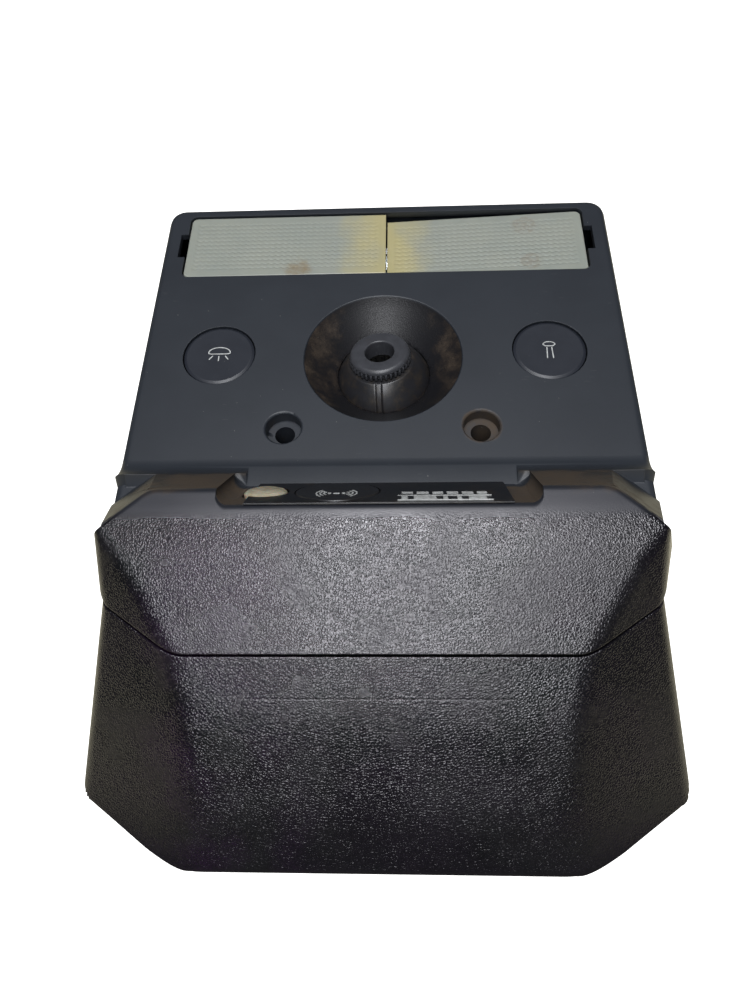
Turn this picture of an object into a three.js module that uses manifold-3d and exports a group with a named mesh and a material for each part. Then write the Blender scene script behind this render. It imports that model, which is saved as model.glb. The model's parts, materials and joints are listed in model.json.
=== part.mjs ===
// Overhead console for a car roof, lying on its mounting rim with the lamps facing up.
//
// Millimetres, +Z up. The origin is on the rim's plane, under the middle of the console.
// +Y runs along the console from the raised nose to the courtesy lamp, +X is to the right.
// A flat panel carries the courtesy lamp, two push buttons and an adjustable spot lamp. A sloping
// wall rises from it to the nose, and holds the alarm's status window and sensor button.

import * as THREE from 'three';
import { ConvexGeometry } from 'three/addons/geometries/ConvexGeometry.js';
import { mergeVertices } from 'three/addons/utils/BufferGeometryUtils.js';
import Module from 'manifold-3d';

const wasm = await Module();
wasm.setup();

// Driving dimensions.

const gap = 0.35; // between neighbouring mouldings
const shell = 2.2; // wall thickness of the outer mouldings

const panelTop = 28; // height of the flat panel above the rim
const panelHalfWidth = 78;
const rimHalfWidth = 81;
const panelFarY = 108.5;
const panelFrontY = -32; // where the panel's side walls meet the nose mouldings
const farCornerRadius = 5;
const panelEdgeRadius = 2.6;

const wallSlope = 49; // degrees, the wall between panel and nose
const ridgeY = -21;
const ridgeZ = 48;
const seamY = -61.5;
const seamZ = 35;
const noseRimY = -108.5;
const pocketDepth = 3.85;
const pocketHalfWidth = 38.9;
const pocketLedgeZ = 28.7;

const lensFrontY = 74.5;
const lensFarY = 104;
const lensHalfWidth = 69.9;
const lensSplitX = 0.7;
const lensThickness = 2.2;
const lensCornerRadius = 2.6;

const buttonX = 52.7;
const buttonY = 40.1;
const buttonRadius = 11.4;
const buttonHoleRadius = 11.75;

const spotY = 38.7;
const spotZ = 11; // centre of the ball
const coneRadius = 25.3;
const ballRadius = 16.3;
const ballWall = 2;
const spotPan = 26.6; // degrees, where the seat ring is left turned
const spotLean = 8.9; // degrees, how far the ball is left tipped away from the nose

const fixingX = 29.9;
const fixingY = 11.5;
const counterboreRadius = 5.45;
const counterboreDepth = 4.3;
const fixingHoleRadius = 3.1;

const backPlateZ = 2.8;
const backPlateThickness = 1.8;
const boardZ = 11.3;
const boardThickness = 1.6;

const bulbY = 89.2;
const bulbZ = 15.2;

// Finishes.

const finish = (color, roughness, metalness = 0) =>
  new THREE.MeshStandardMaterial({ color, roughness, metalness, flatShading: true });

const panelPlastic = finish(0x373c44, 0.5);
const grainedPlastic = finish(0x1c1b20, 0.45);
const blackPlastic = finish(0x17181b, 0.5);
const lensPlastic = finish(0xa5aaa0, 0.35);
const creamPlastic = finish(0xb5a98c, 0.4);
const whitePlastic = finish(0xd8d6ce, 0.6);
const brightMetal = finish(0xb9babc, 0.3, 1);
const brassMetal = finish(0xb08d4a, 0.35, 1);
const steel = finish(0x9a9c9f, 0.4, 1);
const glass = finish(0xe4ebee, 0.08);
const boardGreen = finish(0x2e5a3c, 0.6);

// Solid helpers. A solid is a closed body that can be joined and cut.

const radians = THREE.MathUtils.degToRad;

function solid(geometry) {
  const bare = geometry.clone();
  bare.deleteAttribute('normal');
  bare.deleteAttribute('uv');
  const merged = mergeVertices(bare, 1e-4);
  const corners = merged.index.array;
  const kept = [];
  for (let i = 0; i < corners.length; i += 3) {
    const [a, b, c] = [corners[i], corners[i + 1], corners[i + 2]];
    if (a !== b && b !== c && c !== a) kept.push(a, b, c);
  }
  const vertProperties = merged.attributes.position.array;
  if (enclosedVolume(vertProperties, kept) < 0) kept.reverse();
  return new wasm.Manifold(new wasm.Mesh({ numProp: 3, vertProperties, triVerts: new Uint32Array(kept) }));
}

function enclosedVolume(positions, corners) {
  const [a, b, c] = [new THREE.Vector3(), new THREE.Vector3(), new THREE.Vector3()];
  let volume = 0;
  for (let i = 0; i < corners.length; i += 3) {
    a.fromArray(positions, corners[i] * 3);
    b.fromArray(positions, corners[i + 1] * 3);
    c.fromArray(positions, corners[i + 2] * 3);
    volume += a.dot(b.cross(c)) / 6;
  }
  return volume;
}

const join = (first, ...others) => others.reduce((whole, next) => whole.add(next), first);
const cut = (first, ...tools) => tools.reduce((rest, tool) => rest.subtract(tool), first);

function block([x0, x1], [y0, y1], [z0, z1], place) {
  const geometry = new THREE.BoxGeometry(x1 - x0, y1 - y0, z1 - z0);
  geometry.translate((x0 + x1) / 2, (y0 + y1) / 2, (z0 + z1) / 2);
  if (place) geometry.applyMatrix4(place);
  return solid(geometry);
}

// Body turned about the Z axis from [radius, height] points, then moved.
function turned(profile, segments, place) {
  const points = profile.map(([radius, height]) => new THREE.Vector2(radius, height));
  const geometry = new THREE.LatheGeometry(points, segments);
  geometry.rotateX(Math.PI / 2);
  if (place) geometry.applyMatrix4(place);
  return solid(geometry);
}

const at = (x, y, z = 0) => new THREE.Matrix4().makeTranslation(x, y, z);

function disc(x, y, [z0, z1], radius, segments = 32, place = new THREE.Matrix4()) {
  return turned([[0, z0], [radius, z0], [radius, z1], [0, z1]], segments, place.clone().multiply(at(x, y)));
}

// Prism over a closed [x, y] outline.
function prism(outline, [z0, z1], place) {
  const shape = new THREE.Shape(outline.map(([x, y]) => new THREE.Vector2(x, y)));
  const geometry = new THREE.ExtrudeGeometry(shape, { depth: z1 - z0, bevelEnabled: false });
  geometry.translate(0, 0, z0);
  if (place) geometry.applyMatrix4(place);
  return solid(geometry);
}

// Prism along X over a closed [y, z] outline.
function prismAlongX(outline, [x0, x1]) {
  const turn = new THREE.Matrix4().makeBasis(
    new THREE.Vector3(0, 1, 0),
    new THREE.Vector3(0, 0, 1),
    new THREE.Vector3(1, 0, 0),
  );
  return prism(outline, [x0, x1], turn);
}

const sphere = (radius, place, around = 40, up = 20) =>
  solid(new THREE.SphereGeometry(radius, around, up).rotateX(Math.PI / 2).applyMatrix4(place));

// Rectangle with a radius for each corner, starting at the lowest x and y and going round anticlockwise.
function roundedOutline([x0, x1], [y0, y1], radii, steps = 5) {
  const corners = [[x0, y0, 1, 1], [x1, y0, -1, 1], [x1, y1, -1, -1], [x0, y1, 1, -1]];
  return corners.flatMap(([x, y, inX, inY], i) => {
    const radius = radii[i];
    if (!radius) return [[x, y]];
    const arc = [];
    for (let k = 0; k <= steps; k++) {
      const angle = radians(180 + 90 * (i + k / steps));
      arc.push([x + radius * (inX + Math.cos(angle)), y + radius * (inY + Math.sin(angle))]);
    }
    return arc;
  });
}

// Convex bodies bounded by planes. A plane leans outwards: heading is the compass direction it faces,
// slope is its tilt from level, both in degrees, and it passes through the given point.
function plane(heading, slope, point) {
  const normal = new THREE.Vector3(
    Math.sin(radians(slope)) * Math.cos(radians(heading)),
    Math.sin(radians(slope)) * Math.sin(radians(heading)),
    Math.cos(radians(slope)),
  );
  return { normal, reach: normal.dot(new THREE.Vector3(...point)) };
}

const inset = (planes, depth) => planes.map(({ normal, reach }) => ({ normal, reach: reach - depth }));
const flipped = ({ normal, reach }) => ({ normal: normal.clone().negate(), reach: -reach });
const facing = (x, y, z, reach) => ({ normal: new THREE.Vector3(x, y, z), reach });

function withinPlanes(planes) {
  const corners = [];
  const seen = new Set();
  const keep = (point) => {
    if (planes.some(({ normal, reach }) => normal.dot(point) > reach + 1e-6)) return;
    const key = point.toArray().map((value) => value.toFixed(3)).join(' ');
    if (seen.has(key)) return;
    seen.add(key);
    corners.push(point);
  };
  for (let i = 0; i < planes.length; i++) {
    for (let j = i + 1; j < planes.length; j++) {
      for (let k = j + 1; k < planes.length; k++) {
        const [a, b, c] = [planes[i], planes[j], planes[k]];
        const bc = b.normal.clone().cross(c.normal);
        const scale = a.normal.dot(bc);
        if (Math.abs(scale) < 1e-6) continue;
        const ca = c.normal.clone().cross(a.normal);
        const ab = a.normal.clone().cross(b.normal);
        bc.multiplyScalar(a.reach);
        bc.addScaledVector(ca, b.reach);
        bc.addScaledVector(ab, c.reach);
        keep(bc.divideScalar(scale));
      }
    }
  }
  return solid(new ConvexGeometry(corners));
}

const bothSides = (make) => [make(1), make(-1)];

// The wall and the shoulders at its ends, which the panel and the nose cover share.

const wallPlane = plane(90, wallSlope, [0, ridgeY, ridgeZ]);
const shoulderPlanes = bothSides((side) => plane(side > 0 ? 46 : 134, 50, [side * 65.9, -26.2, 47.5]));
const wallPlanes = [wallPlane, ...shoulderPlanes];
const floorPlane = { normal: wallPlane.normal, reach: wallPlane.reach - pocketDepth };

// Upper face of the nose: flat at the ridge, steeper towards the seam.
const crownPlanes = [
  plane(-90, 4, [0, ridgeY, ridgeZ]),
  plane(-90, 12, [0, -29, 47.4]),
  plane(-90, 19, [0, -38, 45.2]),
  plane(-90, 24, [0, seamY, seamZ]),
];

const upperCornerPlanes = bothSides((side) => plane(side > 0 ? -55.5 : -124.5, 43.6, [side * 72, -47.8, seamZ]));
const upperSidePlanes = bothSides((side) => plane(side > 0 ? -15.9 : -164.1, 73.2, [side * 72, -47.8, seamZ]));

// Lower face of the nose, its corners and its short upright rim.
const apronPlanes = [
  plane(-90, 31, [0, seamY, seamZ]),
  plane(-90, 36, [0, -80, 23.4]),
  plane(-90, 42, [0, -105.8, 3]),
  plane(-90, 68, [0, noseRimY, 0]),
];
const lowerCornerPlanes = [
  ...bothSides((side) => plane(side > 0 ? -55.5 : -124.5, 41, [side * 72, -47.8, seamZ])),
  ...bothSides((side) => plane(side > 0 ? -70 : -110, 41, [side * 59.5, -104.4, 1.2])),
  ...bothSides((side) => plane(side > 0 ? -55.5 : -124.5, 90, [side * 72.3, -98.9, 0])),
];
const lowerSidePlanes = [
  ...bothSides((side) => plane(side > 0 ? -17.5 : -162.5, 57.8, [side * 72, -47.8, seamZ])),
  ...bothSides((side) => plane(side > 0 ? 1.3 : 178.7, 75.5, [side * 82.2, -87.2, 0])),
  ...bothSides((side) => plane(side > 0 ? -30 : -150, 72, [side * 82, -89, 0.8])),
];

// Front panel: the flat face, its side walls, the sloping wall with its pocket, the cone round the
// spot lamp, the button collars and the fixing bosses, in one moulding.

function panelBody(thickness) {
  const levels = [
    [0, rimHalfWidth, 0],
    [panelTop - panelEdgeRadius, panelHalfWidth + 0.2, 0.2],
    [panelTop - 0.8, panelHalfWidth - 0.8, 0.9],
    [panelTop, panelHalfWidth - panelEdgeRadius, panelEdgeRadius],
  ];
  const points = [];
  for (const [height, halfWidth, back] of levels) {
    const z = height === 0 && thickness > 0 ? -1 : height - (height > 0 ? thickness : 0);
    const x1 = halfWidth - thickness;
    const ySpan = [panelFrontY - thickness, panelFarY - back - thickness];
    for (const [x, y] of roundedOutline([-x1, x1], ySpan, [0, 0, farCornerRadius, farCornerRadius])) {
      points.push(new THREE.Vector3(x, y, z));
    }
  }
  return solid(new ConvexGeometry(points));
}

const shoulderSidePlanes = bothSides((side) => plane(side > 0 ? 0 : 180, 70, [side * panelHalfWidth, 0, panelTop]));

function wallWedge(thickness) {
  const sides = inset([...wallPlanes, ...shoulderSidePlanes], thickness);
  const footZ = panelTop - 1 - thickness / 1.4;
  const ends = [facing(0, -1, 0, -panelFrontY + thickness), facing(0, 0, -1, -footZ), facing(0, 0, 1, 60)];
  return withinPlanes([...sides, ...ends]);
}

// Concave fillet between the flat panel and the wall.
function wallFillet() {
  const radius = 9;
  const footY = ridgeY + (ridgeZ - panelTop) / Math.tan(radians(wallSlope));
  const tangent = radius * Math.tan(radians(wallSlope / 2));
  const outline = [[footY - 6, panelTop - 1], [footY + tangent, panelTop - 1]];
  for (let i = 0; i <= 6; i++) {
    const angle = radians((wallSlope * i) / 6);
    const y = footY + tangent - radius * Math.sin(angle);
    outline.push([y, panelTop + radius * (1 - Math.cos(angle))]);
  }
  return prismAlongX(outline, [-panelHalfWidth + 3.4, panelHalfWidth - 3.4]);
}

const pocketPlace = new THREE.Matrix4().multiplyMatrices(
  at(0, (floorPlane.reach - 38 * floorPlane.normal.z) / floorPlane.normal.y, 38),
  new THREE.Matrix4().makeRotationX(-radians(wallSlope)),
);

function pocketBlock() {
  const inner = { normal: floorPlane.normal, reach: floorPlane.reach - shell };
  const ends = [facing(1, 0, 0, pocketHalfWidth + 4.6), facing(-1, 0, 0, pocketHalfWidth + 4.6)];
  const bottom = facing(0, 0, -1, -(panelTop - shell));
  return withinPlanes([wallPlane, flipped(inner), ...crownPlanes, ...ends, bottom]);
}

function pocketCut() {
  const ends = [facing(1, 0, 0, pocketHalfWidth), facing(-1, 0, 0, pocketHalfWidth)];
  const ledge = facing(0, 0, -1, -pocketLedgeZ);
  const outside = [facing(0, 0, 1, 60), facing(0, 1, 0, 10)];
  const middle = withinPlanes([flipped(floorPlane), ...ends, ledge, ...outside]);
  const scoops = bothSides((side) =>
    turned([[0, -12.4], [3.3, -12.4], [3.3, 20], [0, 20]], 20, scoopPlace(side)));
  return join(middle, ...scoops);
}

// Round channel down each end of the pocket, with its axis along the wall's slope.
function scoopPlace(side) {
  const upSlope = new THREE.Matrix4().makeRotationX(Math.PI / 2);
  return pocketPlace.clone().multiply(at(side * pocketHalfWidth, 0, 3.2)).multiply(upSlope);
}

const sensorX = -11.4;
const sensorRadius = 11.4;
const sensorHoleRadius = 11.7;
const statusX = -31;
const statusRadius = 6.2;
const sensorPosts = [[-23.9, 5.6], [3.5, 0]];

const panelBosses = [[-70, 62], [70, 62], [-70, 4], [70, 4]];
const noseBosses = [[-44, -42], [44, -42]];
const apronBosses = [[-44, -80], [44, -80]];
const bossRadius = 3.4;
const screwClearRadius = 1.75;
const bossFootZ = backPlateZ + backPlateThickness + gap;

function screwBoss([x, y], top) {
  return disc(x, y, [bossFootZ, top], bossRadius, 12);
}

const screwBore = ([x, y]) => disc(x, y, [bossFootZ - 1, bossFootZ + 10], screwClearRadius, 10);

const ballPlace = at(0, spotY, spotZ);

function frontPanel() {
  const cone = turned(
    [[0, 14.6], [18.6, 14.6], [18.6, 18.4], [27.6, panelTop - 1], [0, panelTop - 1]], 64, at(0, spotY));
  const coneHollow = turned(
    [[0, 14], [15.1, 14], [15.1, 17.6], [16.2, 18.4], [22.6, 24.6], [coneRadius - 0.5, 27.2],
      [coneRadius, panelTop], [coneRadius, panelTop + 1], [0, panelTop + 1]], 64, at(0, spotY));
  const collars = bothSides((side) => disc(side * buttonX, buttonY, [19, 27], buttonHoleRadius + 1.6, 32));
  const collarHoles = bothSides((side) => disc(side * buttonX, buttonY, [18, 29], buttonHoleRadius, 32));
  const seatZ = panelTop - counterboreDepth;
  const bosses = bothSides((side) => disc(side * fixingX, fixingY, [0.2, 27], counterboreRadius + 1.8, 24));
  const bores = bothSides((side) => turned(
    [[0, -1], [fixingHoleRadius, -1], [fixingHoleRadius, seatZ], [counterboreRadius, seatZ],
      [counterboreRadius, panelTop - 0.5], [counterboreRadius + 0.5, panelTop + 0.01],
      [counterboreRadius + 0.5, 30], [0, 30]], 24, at(side * fixingX, fixingY)));

  const underCover = withinPlanes([
    ...inset(crownPlanes, shell + gap),
    facing(1, 0, 0, 90), facing(-1, 0, 0, 90), facing(0, 1, 0, 120), facing(0, -1, 0, -panelFrontY),
    facing(0, 0, -1, 5),
  ]);
  const outside = join(panelBody(0), wallWedge(0), wallFillet());
  const inside = join(panelBody(shell), wallWedge(shell));
  let body = cut(outside, inside).intersect(underCover);
  body = join(body, pocketBlock(), cone, ...collars, ...bosses);
  body = join(body, ...panelBosses.map((spot) => screwBoss(spot, 27)));
  const postSpan = [gap - sensorBoardDepth, -1];
  body = join(body, ...sensorPosts.map(([x, y]) => disc(x, y, postSpan, 1.6, 10, pocketPlace)));

  const lensOutline = roundedOutline(
    [-lensHalfWidth, lensHalfWidth], [lensFrontY, lensFarY], Array(4).fill(lensCornerRadius));
  const lensHole = prism(lensOutline, [20, 30]);
  const pryNotches = bothSides((side) => {
    const span = side > 0 ? [lensHalfWidth - 1, lensHalfWidth + 2.5] : [-lensHalfWidth - 2.5, 1 - lensHalfWidth];
    return block(span, [84, 95], [20, 30]);
  });
  const sensorHole = disc(sensorX, 0, [-9, 4], sensorHoleRadius, 32, pocketPlace);
  const statusHole = disc(statusX, 0, [-9, 4], statusRadius + 0.3, 24, pocketPlace);
  return cut(
    body, pocketCut(), coneHollow, sphere(ballRadius + gap, ballPlace, 32, 16), ...collarHoles, ...bores,
    lensHole, ...pryNotches, sensorHole, statusHole, ...panelBosses.map(screwBore));
}

// Nose: a grained cover above the seam and a grained apron below it.

const noseSpan = [facing(1, 0, 0, 90), facing(-1, 0, 0, 90)];

function noseCover() {
  const faces = [...crownPlanes, ...upperCornerPlanes, ...upperSidePlanes];
  const outside = withinPlanes([...faces, ...wallPlanes, facing(0, 0, -1, -(seamZ + gap / 2))]);
  const hollow = withinPlanes([...inset(faces, shell), facing(0, 0, -1, -20), facing(0, 1, 0, 30)]);
  const overPanel = withinPlanes([
    ...inset(crownPlanes, shell), ...noseSpan, facing(0, 0, -1, -20), facing(0, 1, 0, 30),
    facing(0, -1, 0, -(panelFrontY - gap)),
  ]);
  const pocketPlane = { normal: floorPlane.normal, reach: floorPlane.reach - shell - gap };
  const pocketEnds = [facing(1, 0, 0, pocketHalfWidth + 4.6 + gap), facing(-1, 0, 0, pocketHalfWidth + 4.6 + gap)];
  const pocket = withinPlanes([
    flipped(pocketPlane), ...pocketEnds, facing(0, 0, 1, 60), facing(0, 0, -1, -20), facing(0, 1, 0, 30)]);
  const bosses = noseBosses.map(([x, y]) => screwBoss([x, y], 42));
  return cut(join(cut(outside, hollow, overPanel, pocket), ...bosses), ...noseBosses.map(screwBore));
}

function noseApron() {
  const faces = [...apronPlanes, ...lowerCornerPlanes, ...lowerSidePlanes];
  const frontEnd = facing(0, 1, 0, panelFrontY - gap);
  const outside = withinPlanes([...faces, frontEnd, facing(0, 0, -1, 0), facing(0, 0, 1, seamZ - gap / 2)]);
  const hollow = withinPlanes([...inset(faces, shell), facing(0, 1, 0, 0), facing(0, 0, -1, 5), facing(0, 0, 1, 60)]);
  const bosses = apronBosses.map(([x, y]) => screwBoss([x, y], 19.5));
  return cut(join(cut(outside, hollow), ...bosses), ...apronBosses.map(screwBore));
}

// Courtesy lamp: two diffusers over a black lamp box with a festoon bulb in its middle.

// The left diffuser lies level. The right one has come unclipped: its inner end has sunk.
function diffuser([x0, x1], radii, place) {
  const outline = roundedOutline([x0, x1], [lensFrontY + gap, lensFarY - gap], radii);
  const plate = prism(outline, [-lensThickness, 0], place);
  const skirts = [[x0 + 2, x1 - 2, lensFrontY + 1.6, lensFrontY + 2.8], [x0 + 2, x1 - 2, lensFarY - 2.8, lensFarY - 1.6]]
    .map(([left, right, front, far]) => block([left, right], [front, far], [-lensThickness - 1.6, -0.5], place));
  return join(plate, ...skirts);
}

const diffuserRadius = lensCornerRadius - gap;

function leftDiffuser() {
  const span = [-lensHalfWidth + gap, lensSplitX - gap / 2];
  return diffuser(span, [diffuserRadius, 0, 0, diffuserRadius], at(0, 0, panelTop - 0.6));
}

function rightDiffuser() {
  const outerX = lensHalfWidth - gap;
  const place = at(outerX, 0, panelTop - 1).multiply(new THREE.Matrix4().makeRotationY(radians(-2.6)));
  return diffuser([lensSplitX + gap - outerX, -0.1], [0, diffuserRadius, diffuserRadius, 0], place);
}

const lampBoxWall = 1.4;
const lampBox = { x: [-71.4, 71.4], y: [73.2, 105.4], z: [6.5, 20] };

function lampBoxTray() {
  const { x, y, z } = lampBox;
  const inner = ([low, high]) => [low + lampBoxWall, high - lampBoxWall];
  return cut(block(x, y, z), block(inner(x), inner(y), [z[0] + lampBoxWall, 30]));
}

// Curved bright trough under the bulb.
function bulbReflector() {
  const arc = (radius) => {
    const points = [];
    for (let i = 0; i <= 10; i++) {
      const angle = radians(200 + 14 * i);
      points.push([bulbY + 1.15 * radius * Math.cos(angle), bulbZ + 1.8 + 0.75 * radius * Math.sin(angle)]);
    }
    return points;
  };
  return prismAlongX([...arc(11.6), ...arc(10.9).reverse()], [-20.3, 20.3]);
}

function bulbClip(side) {
  const x = side * 22.3;
  const blade = block([x - 0.4, x + 0.4], [bulbY - 4, bulbY + 4], [8.2, 19]);
  const foot = side > 0 ? [x - 0.4, x + 7] : [x - 7, x + 0.4];
  const sole = block(foot, [bulbY - 4, bulbY + 4], [8.2, 9]);
  return cut(join(blade, sole), turned([[0, -3], [2, -3], [2, 3], [0, 3]], 16, alongX(x, bulbY, bulbZ)));
}

// Frame whose Z axis runs along +X from the given point.
function alongX(x, y, z) {
  return at(x, y, z).multiply(new THREE.Matrix4().makeRotationY(Math.PI / 2));
}

function domeBulbGlass() {
  const profile = [[4.6, -12.4], [5.2, -12.4], [5.2, 12.4], [4.6, 12.4], [4.6, -12.4]];
  return turned(profile, 20, alongX(0, bulbY, bulbZ));
}

function domeBulbCap(side) {
  const profile = [[0, 12.8], [5.4, 12.8], [5.4, 16.4], [4, 17.4], [1.6, 20.4], [1.2, 22.4], [0, 22.4]];
  const outward = new THREE.Matrix4().makeRotationY((side * Math.PI) / 2);
  return turned(profile, 20, at(0, bulbY, bulbZ).multiply(outward));
}

class CoilCurve extends THREE.Curve {
  constructor(radius, length, turns) {
    super();
    Object.assign(this, { radius, length, turns });
  }

  getPoint(t) {
    const angle = 2 * Math.PI * this.turns * t;
    return new THREE.Vector3(this.radius * Math.cos(angle), this.radius * Math.sin(angle), this.length * t);
  }
}

function coil(radius, length, turns, wire, stepsPerTurn, place) {
  const section = new THREE.Shape();
  const sides = 5;
  for (let i = 0; i < sides; i++) {
    const angle = (2 * Math.PI * i) / sides;
    section[i ? 'lineTo' : 'moveTo'](wire * Math.cos(angle), wire * Math.sin(angle));
  }
  const geometry = new THREE.ExtrudeGeometry(section, {
    steps: Math.round(turns * stepsPerTurn),
    extrudePath: new CoilCurve(radius, length, turns),
    bevelEnabled: false,
  });
  return solid(geometry.applyMatrix4(place));
}

const domeBulbFilament = () => coil(0.9, 18, 4, 0.22, 6, alongX(-9, bulbY, bulbZ));

// Push buttons with their springs and switches.

const switchTopZ = 14;

function pushButton(side) {
  const face = panelTop - 0.15;
  return turned(
    [[0, 17.4], [2.2, 17.4], [2.2, 25.4], [9.6, 25.4], [9.6, 21], [11, 21], [buttonRadius, 21.6],
      [buttonRadius, face - 0.45], [buttonRadius - 0.45, face], [0, face]],
    32, at(side * buttonX, buttonY));
}

function pushSwitch(side) {
  const x = side * buttonX;
  const foot = backPlateZ + backPlateThickness + gap;
  const body = block([x - 8, x + 8], [buttonY - 7, buttonY + 7], [foot, switchTopZ - 2]);
  const neck = disc(x, buttonY, [switchTopZ - 3, switchTopZ], 3.4, 20);
  const tabs = [-5, 0, 5].map((offset) =>
    block([x + offset - 1, x + offset + 1], [buttonY + 6.5, buttonY + 10.5], [7, 7.8]));
  return join(body, neck, ...tabs);
}

const springLength = 25.4 - 0.5 - (switchTopZ + 0.6);
const buttonSpring = (side) => coil(4.4, springLength, 4, 0.35, 8, at(side * buttonX, buttonY, switchTopZ + 0.6));

// Spot lamp: a hollow ball on two pins in a seat ring. The ring turns, and the ball tips in it.

const panPlace = at(0, spotY, spotZ).multiply(new THREE.Matrix4().makeRotationZ(radians(spotPan)));
const leanPlace = panPlace.clone().multiply(new THREE.Matrix4().makeRotationX(-radians(spotLean)));
const pinRadius = 1.6;
const alongPin = new THREE.Matrix4().makeRotationY(Math.PI / 2);

function pinCylinder(radius, [inner, outer], side, place) {
  const span = side > 0 ? [inner, outer] : [-outer, -inner];
  return disc(0, 0, span, radius, 12, place.clone().multiply(alongPin));
}

function spotRing() {
  const ring = turned([[15, -2.6], [20.4, -2.6], [20.4, 2.6], [15, 2.6], [15, -2.6]], 32, panPlace);
  const pins = bothSides((side) => pinCylinder(pinRadius, [14.9, 18], side, panPlace));
  return join(cut(ring, sphere(ballRadius + gap, panPlace, 32, 16)), ...pins);
}

function spotBall() {
  const topZ = 12.4;
  const bottomZ = -7.4;
  const trim = join(
    block([-20, 20], [-20, 20], [topZ, 20], leanPlace),
    block([-20, 20], [-20, 20], [-20, bottomZ], leanPlace));
  const bore = disc(0, 0, [8, 20], 8.2, 20, leanPlace);
  const pinHoles = bothSides((side) => pinCylinder(pinRadius + gap, [12, 20], side, leanPlace));
  const hollow = sphere(ballRadius - ballWall, leanPlace, 20, 10);
  return cut(sphere(ballRadius, leanPlace, 36, 18), hollow, trim, bore, ...pinHoles);
}

function spotKnob() {
  const teeth = 36;
  const outline = [];
  for (let i = 0; i < teeth; i++) {
    for (const [offset, radius] of [[0, 10], [0.5, 9.3]]) {
      const angle = (2 * Math.PI * (i + offset)) / teeth;
      outline.push([radius * Math.cos(angle), radius * Math.sin(angle)]);
    }
  }
  const band = prism(outline, [12.8, 15], leanPlace);
  const top = turned([[0, 14.7], [9.2, 14.7], [9.2, 15.6], [8.2, 16.4], [0, 16.4]], 24, leanPlace);
  const stem = disc(0, 0, [10.6, 13], 7.85, 20, leanPlace);
  return cut(join(band, top, stem), disc(0, 0, [10, 17], 4.7, 20, leanPlace));
}

function spotBulbGlass() {
  const profile = [[0, 7.6], [2, 7.4], [4, 6], [4.8, 3.6], [4.8, -1.5], [3.6, -3], [3.6, -3.6], [0, -3.6]];
  return turned(profile.reverse(), 16, leanPlace);
}

const spotBulbHolder = () => cut(
  turned([[0, -8.6], [5.6, -8.6], [5.6, -6.6], [12, -6.6], [12, -5], [6.4, -5], [6.4, -0.6], [0, -0.6]], 20, leanPlace),
  disc(0, 0, [-4, 1], 5.2, 16, leanPlace));

// Fixed clip ring that keeps the seat ring up against the panel's cone.
function spotRetainer() {
  return turned([[17.6, 6.4], [24, 6.4], [24, 14.2], [20.8, 14.2], [20.8, 8], [17.6, 8], [17.6, 6.4]], 32, at(0, spotY));
}

// Alarm controls on the pocket's floor, drawn in the floor's own frame: +Z stands off the floor.

function sensorButton() {
  const profile = [[0, -6], [1.8, -6], [1.8, -1.6], [9.6, -1.6], [9.6, -3.4], [10.9, -3.4], [sensorRadius, -3],
    [sensorRadius, 0.6], [sensorRadius - 0.4, 1], [0, 1]];
  return turned(profile, 32, pocketPlace.clone().multiply(at(sensorX, 0)));
}

function statusWindow() {
  const profile = [[0, -2.6], [4.6, -2.6], [5.9, -1.2], [5.9, 0.6], [5.2, 1.3], [3.4, 1.8], [0, 2]];
  return turned(profile, 20, pocketPlace.clone().multiply(at(statusX, 0)));
}

function statusLed() {
  const legs = -sensorBoardDepth + gap;
  const profile = [[0, legs], [1.6, legs], [1.6, -9], [2.9, -9], [2.9, -8], [2.5, -8], [2.5, -5.6], [1.8, -4.2], [0, -3.6]];
  return turned(profile, 12, pocketPlace.clone().multiply(at(statusX, 0)));
}

function labelStrip() {
  const plate = block([-37.4, 37.4], [-11.9, 11.9], [gap, gap + 0.5], pocketPlace);
  const corner = join(...bothSides((side) => {
    const span = side > 0 ? [pocketHalfWidth - 4.2, 45] : [-45, 4.2 - pocketHalfWidth];
    return block(span, [-20, 20], [-1, 3], pocketPlace);
  }));
  const holes = [
    disc(sensorX, 0, [-2, 3], sensorHoleRadius, 32, pocketPlace),
    disc(statusX, 0, [-2, 3], statusRadius + 0.3, 24, pocketPlace),
  ];
  const ledge = block([-50, 50], [-20, 20], [0, pocketLedgeZ + gap]);
  return cut(plate, corner, ...holes, ledge);
}

const sensorBoardDepth = 12;

function sensorBoard() {
  return block([-37, 6], [-6.4, 6.4], [-sensorBoardDepth - 1.4, -sensorBoardDepth], pocketPlace);
}

function sensorSwitch() {
  const body = block([sensorX - 3, sensorX + 3], [-3, 3], [-sensorBoardDepth + gap, -8.6], pocketPlace);
  const plunger = disc(sensorX, 0, [-9, -8.25], 1.5, 12, pocketPlace);
  return join(body, plunger);
}

// Back plate, alarm board and the parts on it.

const socketY = -48;
const harnessOpening = { x: [-15, 15], y: [socketY - 9, socketY + 9] };
const boardPosts = [[-34, -62], [34, -62], [-34, -38], [34, -38]];

function backPlate() {
  const span = [backPlateZ, backPlateZ + backPlateThickness];
  const outline = [
    [-76, 100], [-76, -82], [-54, -97.5], [54, -97.5], [76, -82], [76, 100], [72, 104.5], [-72, 104.5]];
  const plate = prism(outline, span);
  const through = [-1, 30];
  const holes = [
    disc(0, spotY, through, 17, 32),
    block(harnessOpening.x, harnessOpening.y, through),
    ...bothSides((side) => disc(side * fixingX, fixingY, through, counterboreRadius + 1.8 + gap, 24)),
    ...[...panelBosses, ...noseBosses, ...apronBosses].map(([x, y]) => disc(x, y, through, screwClearRadius, 10)),
  ];
  const posts = boardPosts.map(([x, y]) => disc(x, y, [span[1] - 0.5, boardZ - gap], 3, 10));
  const bores = boardPosts.map(([x, y]) => disc(x, y, [span[1] + 0.5, 30], 1.35, 8));
  return cut(join(plate, ...posts), ...holes, ...bores);
}

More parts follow.
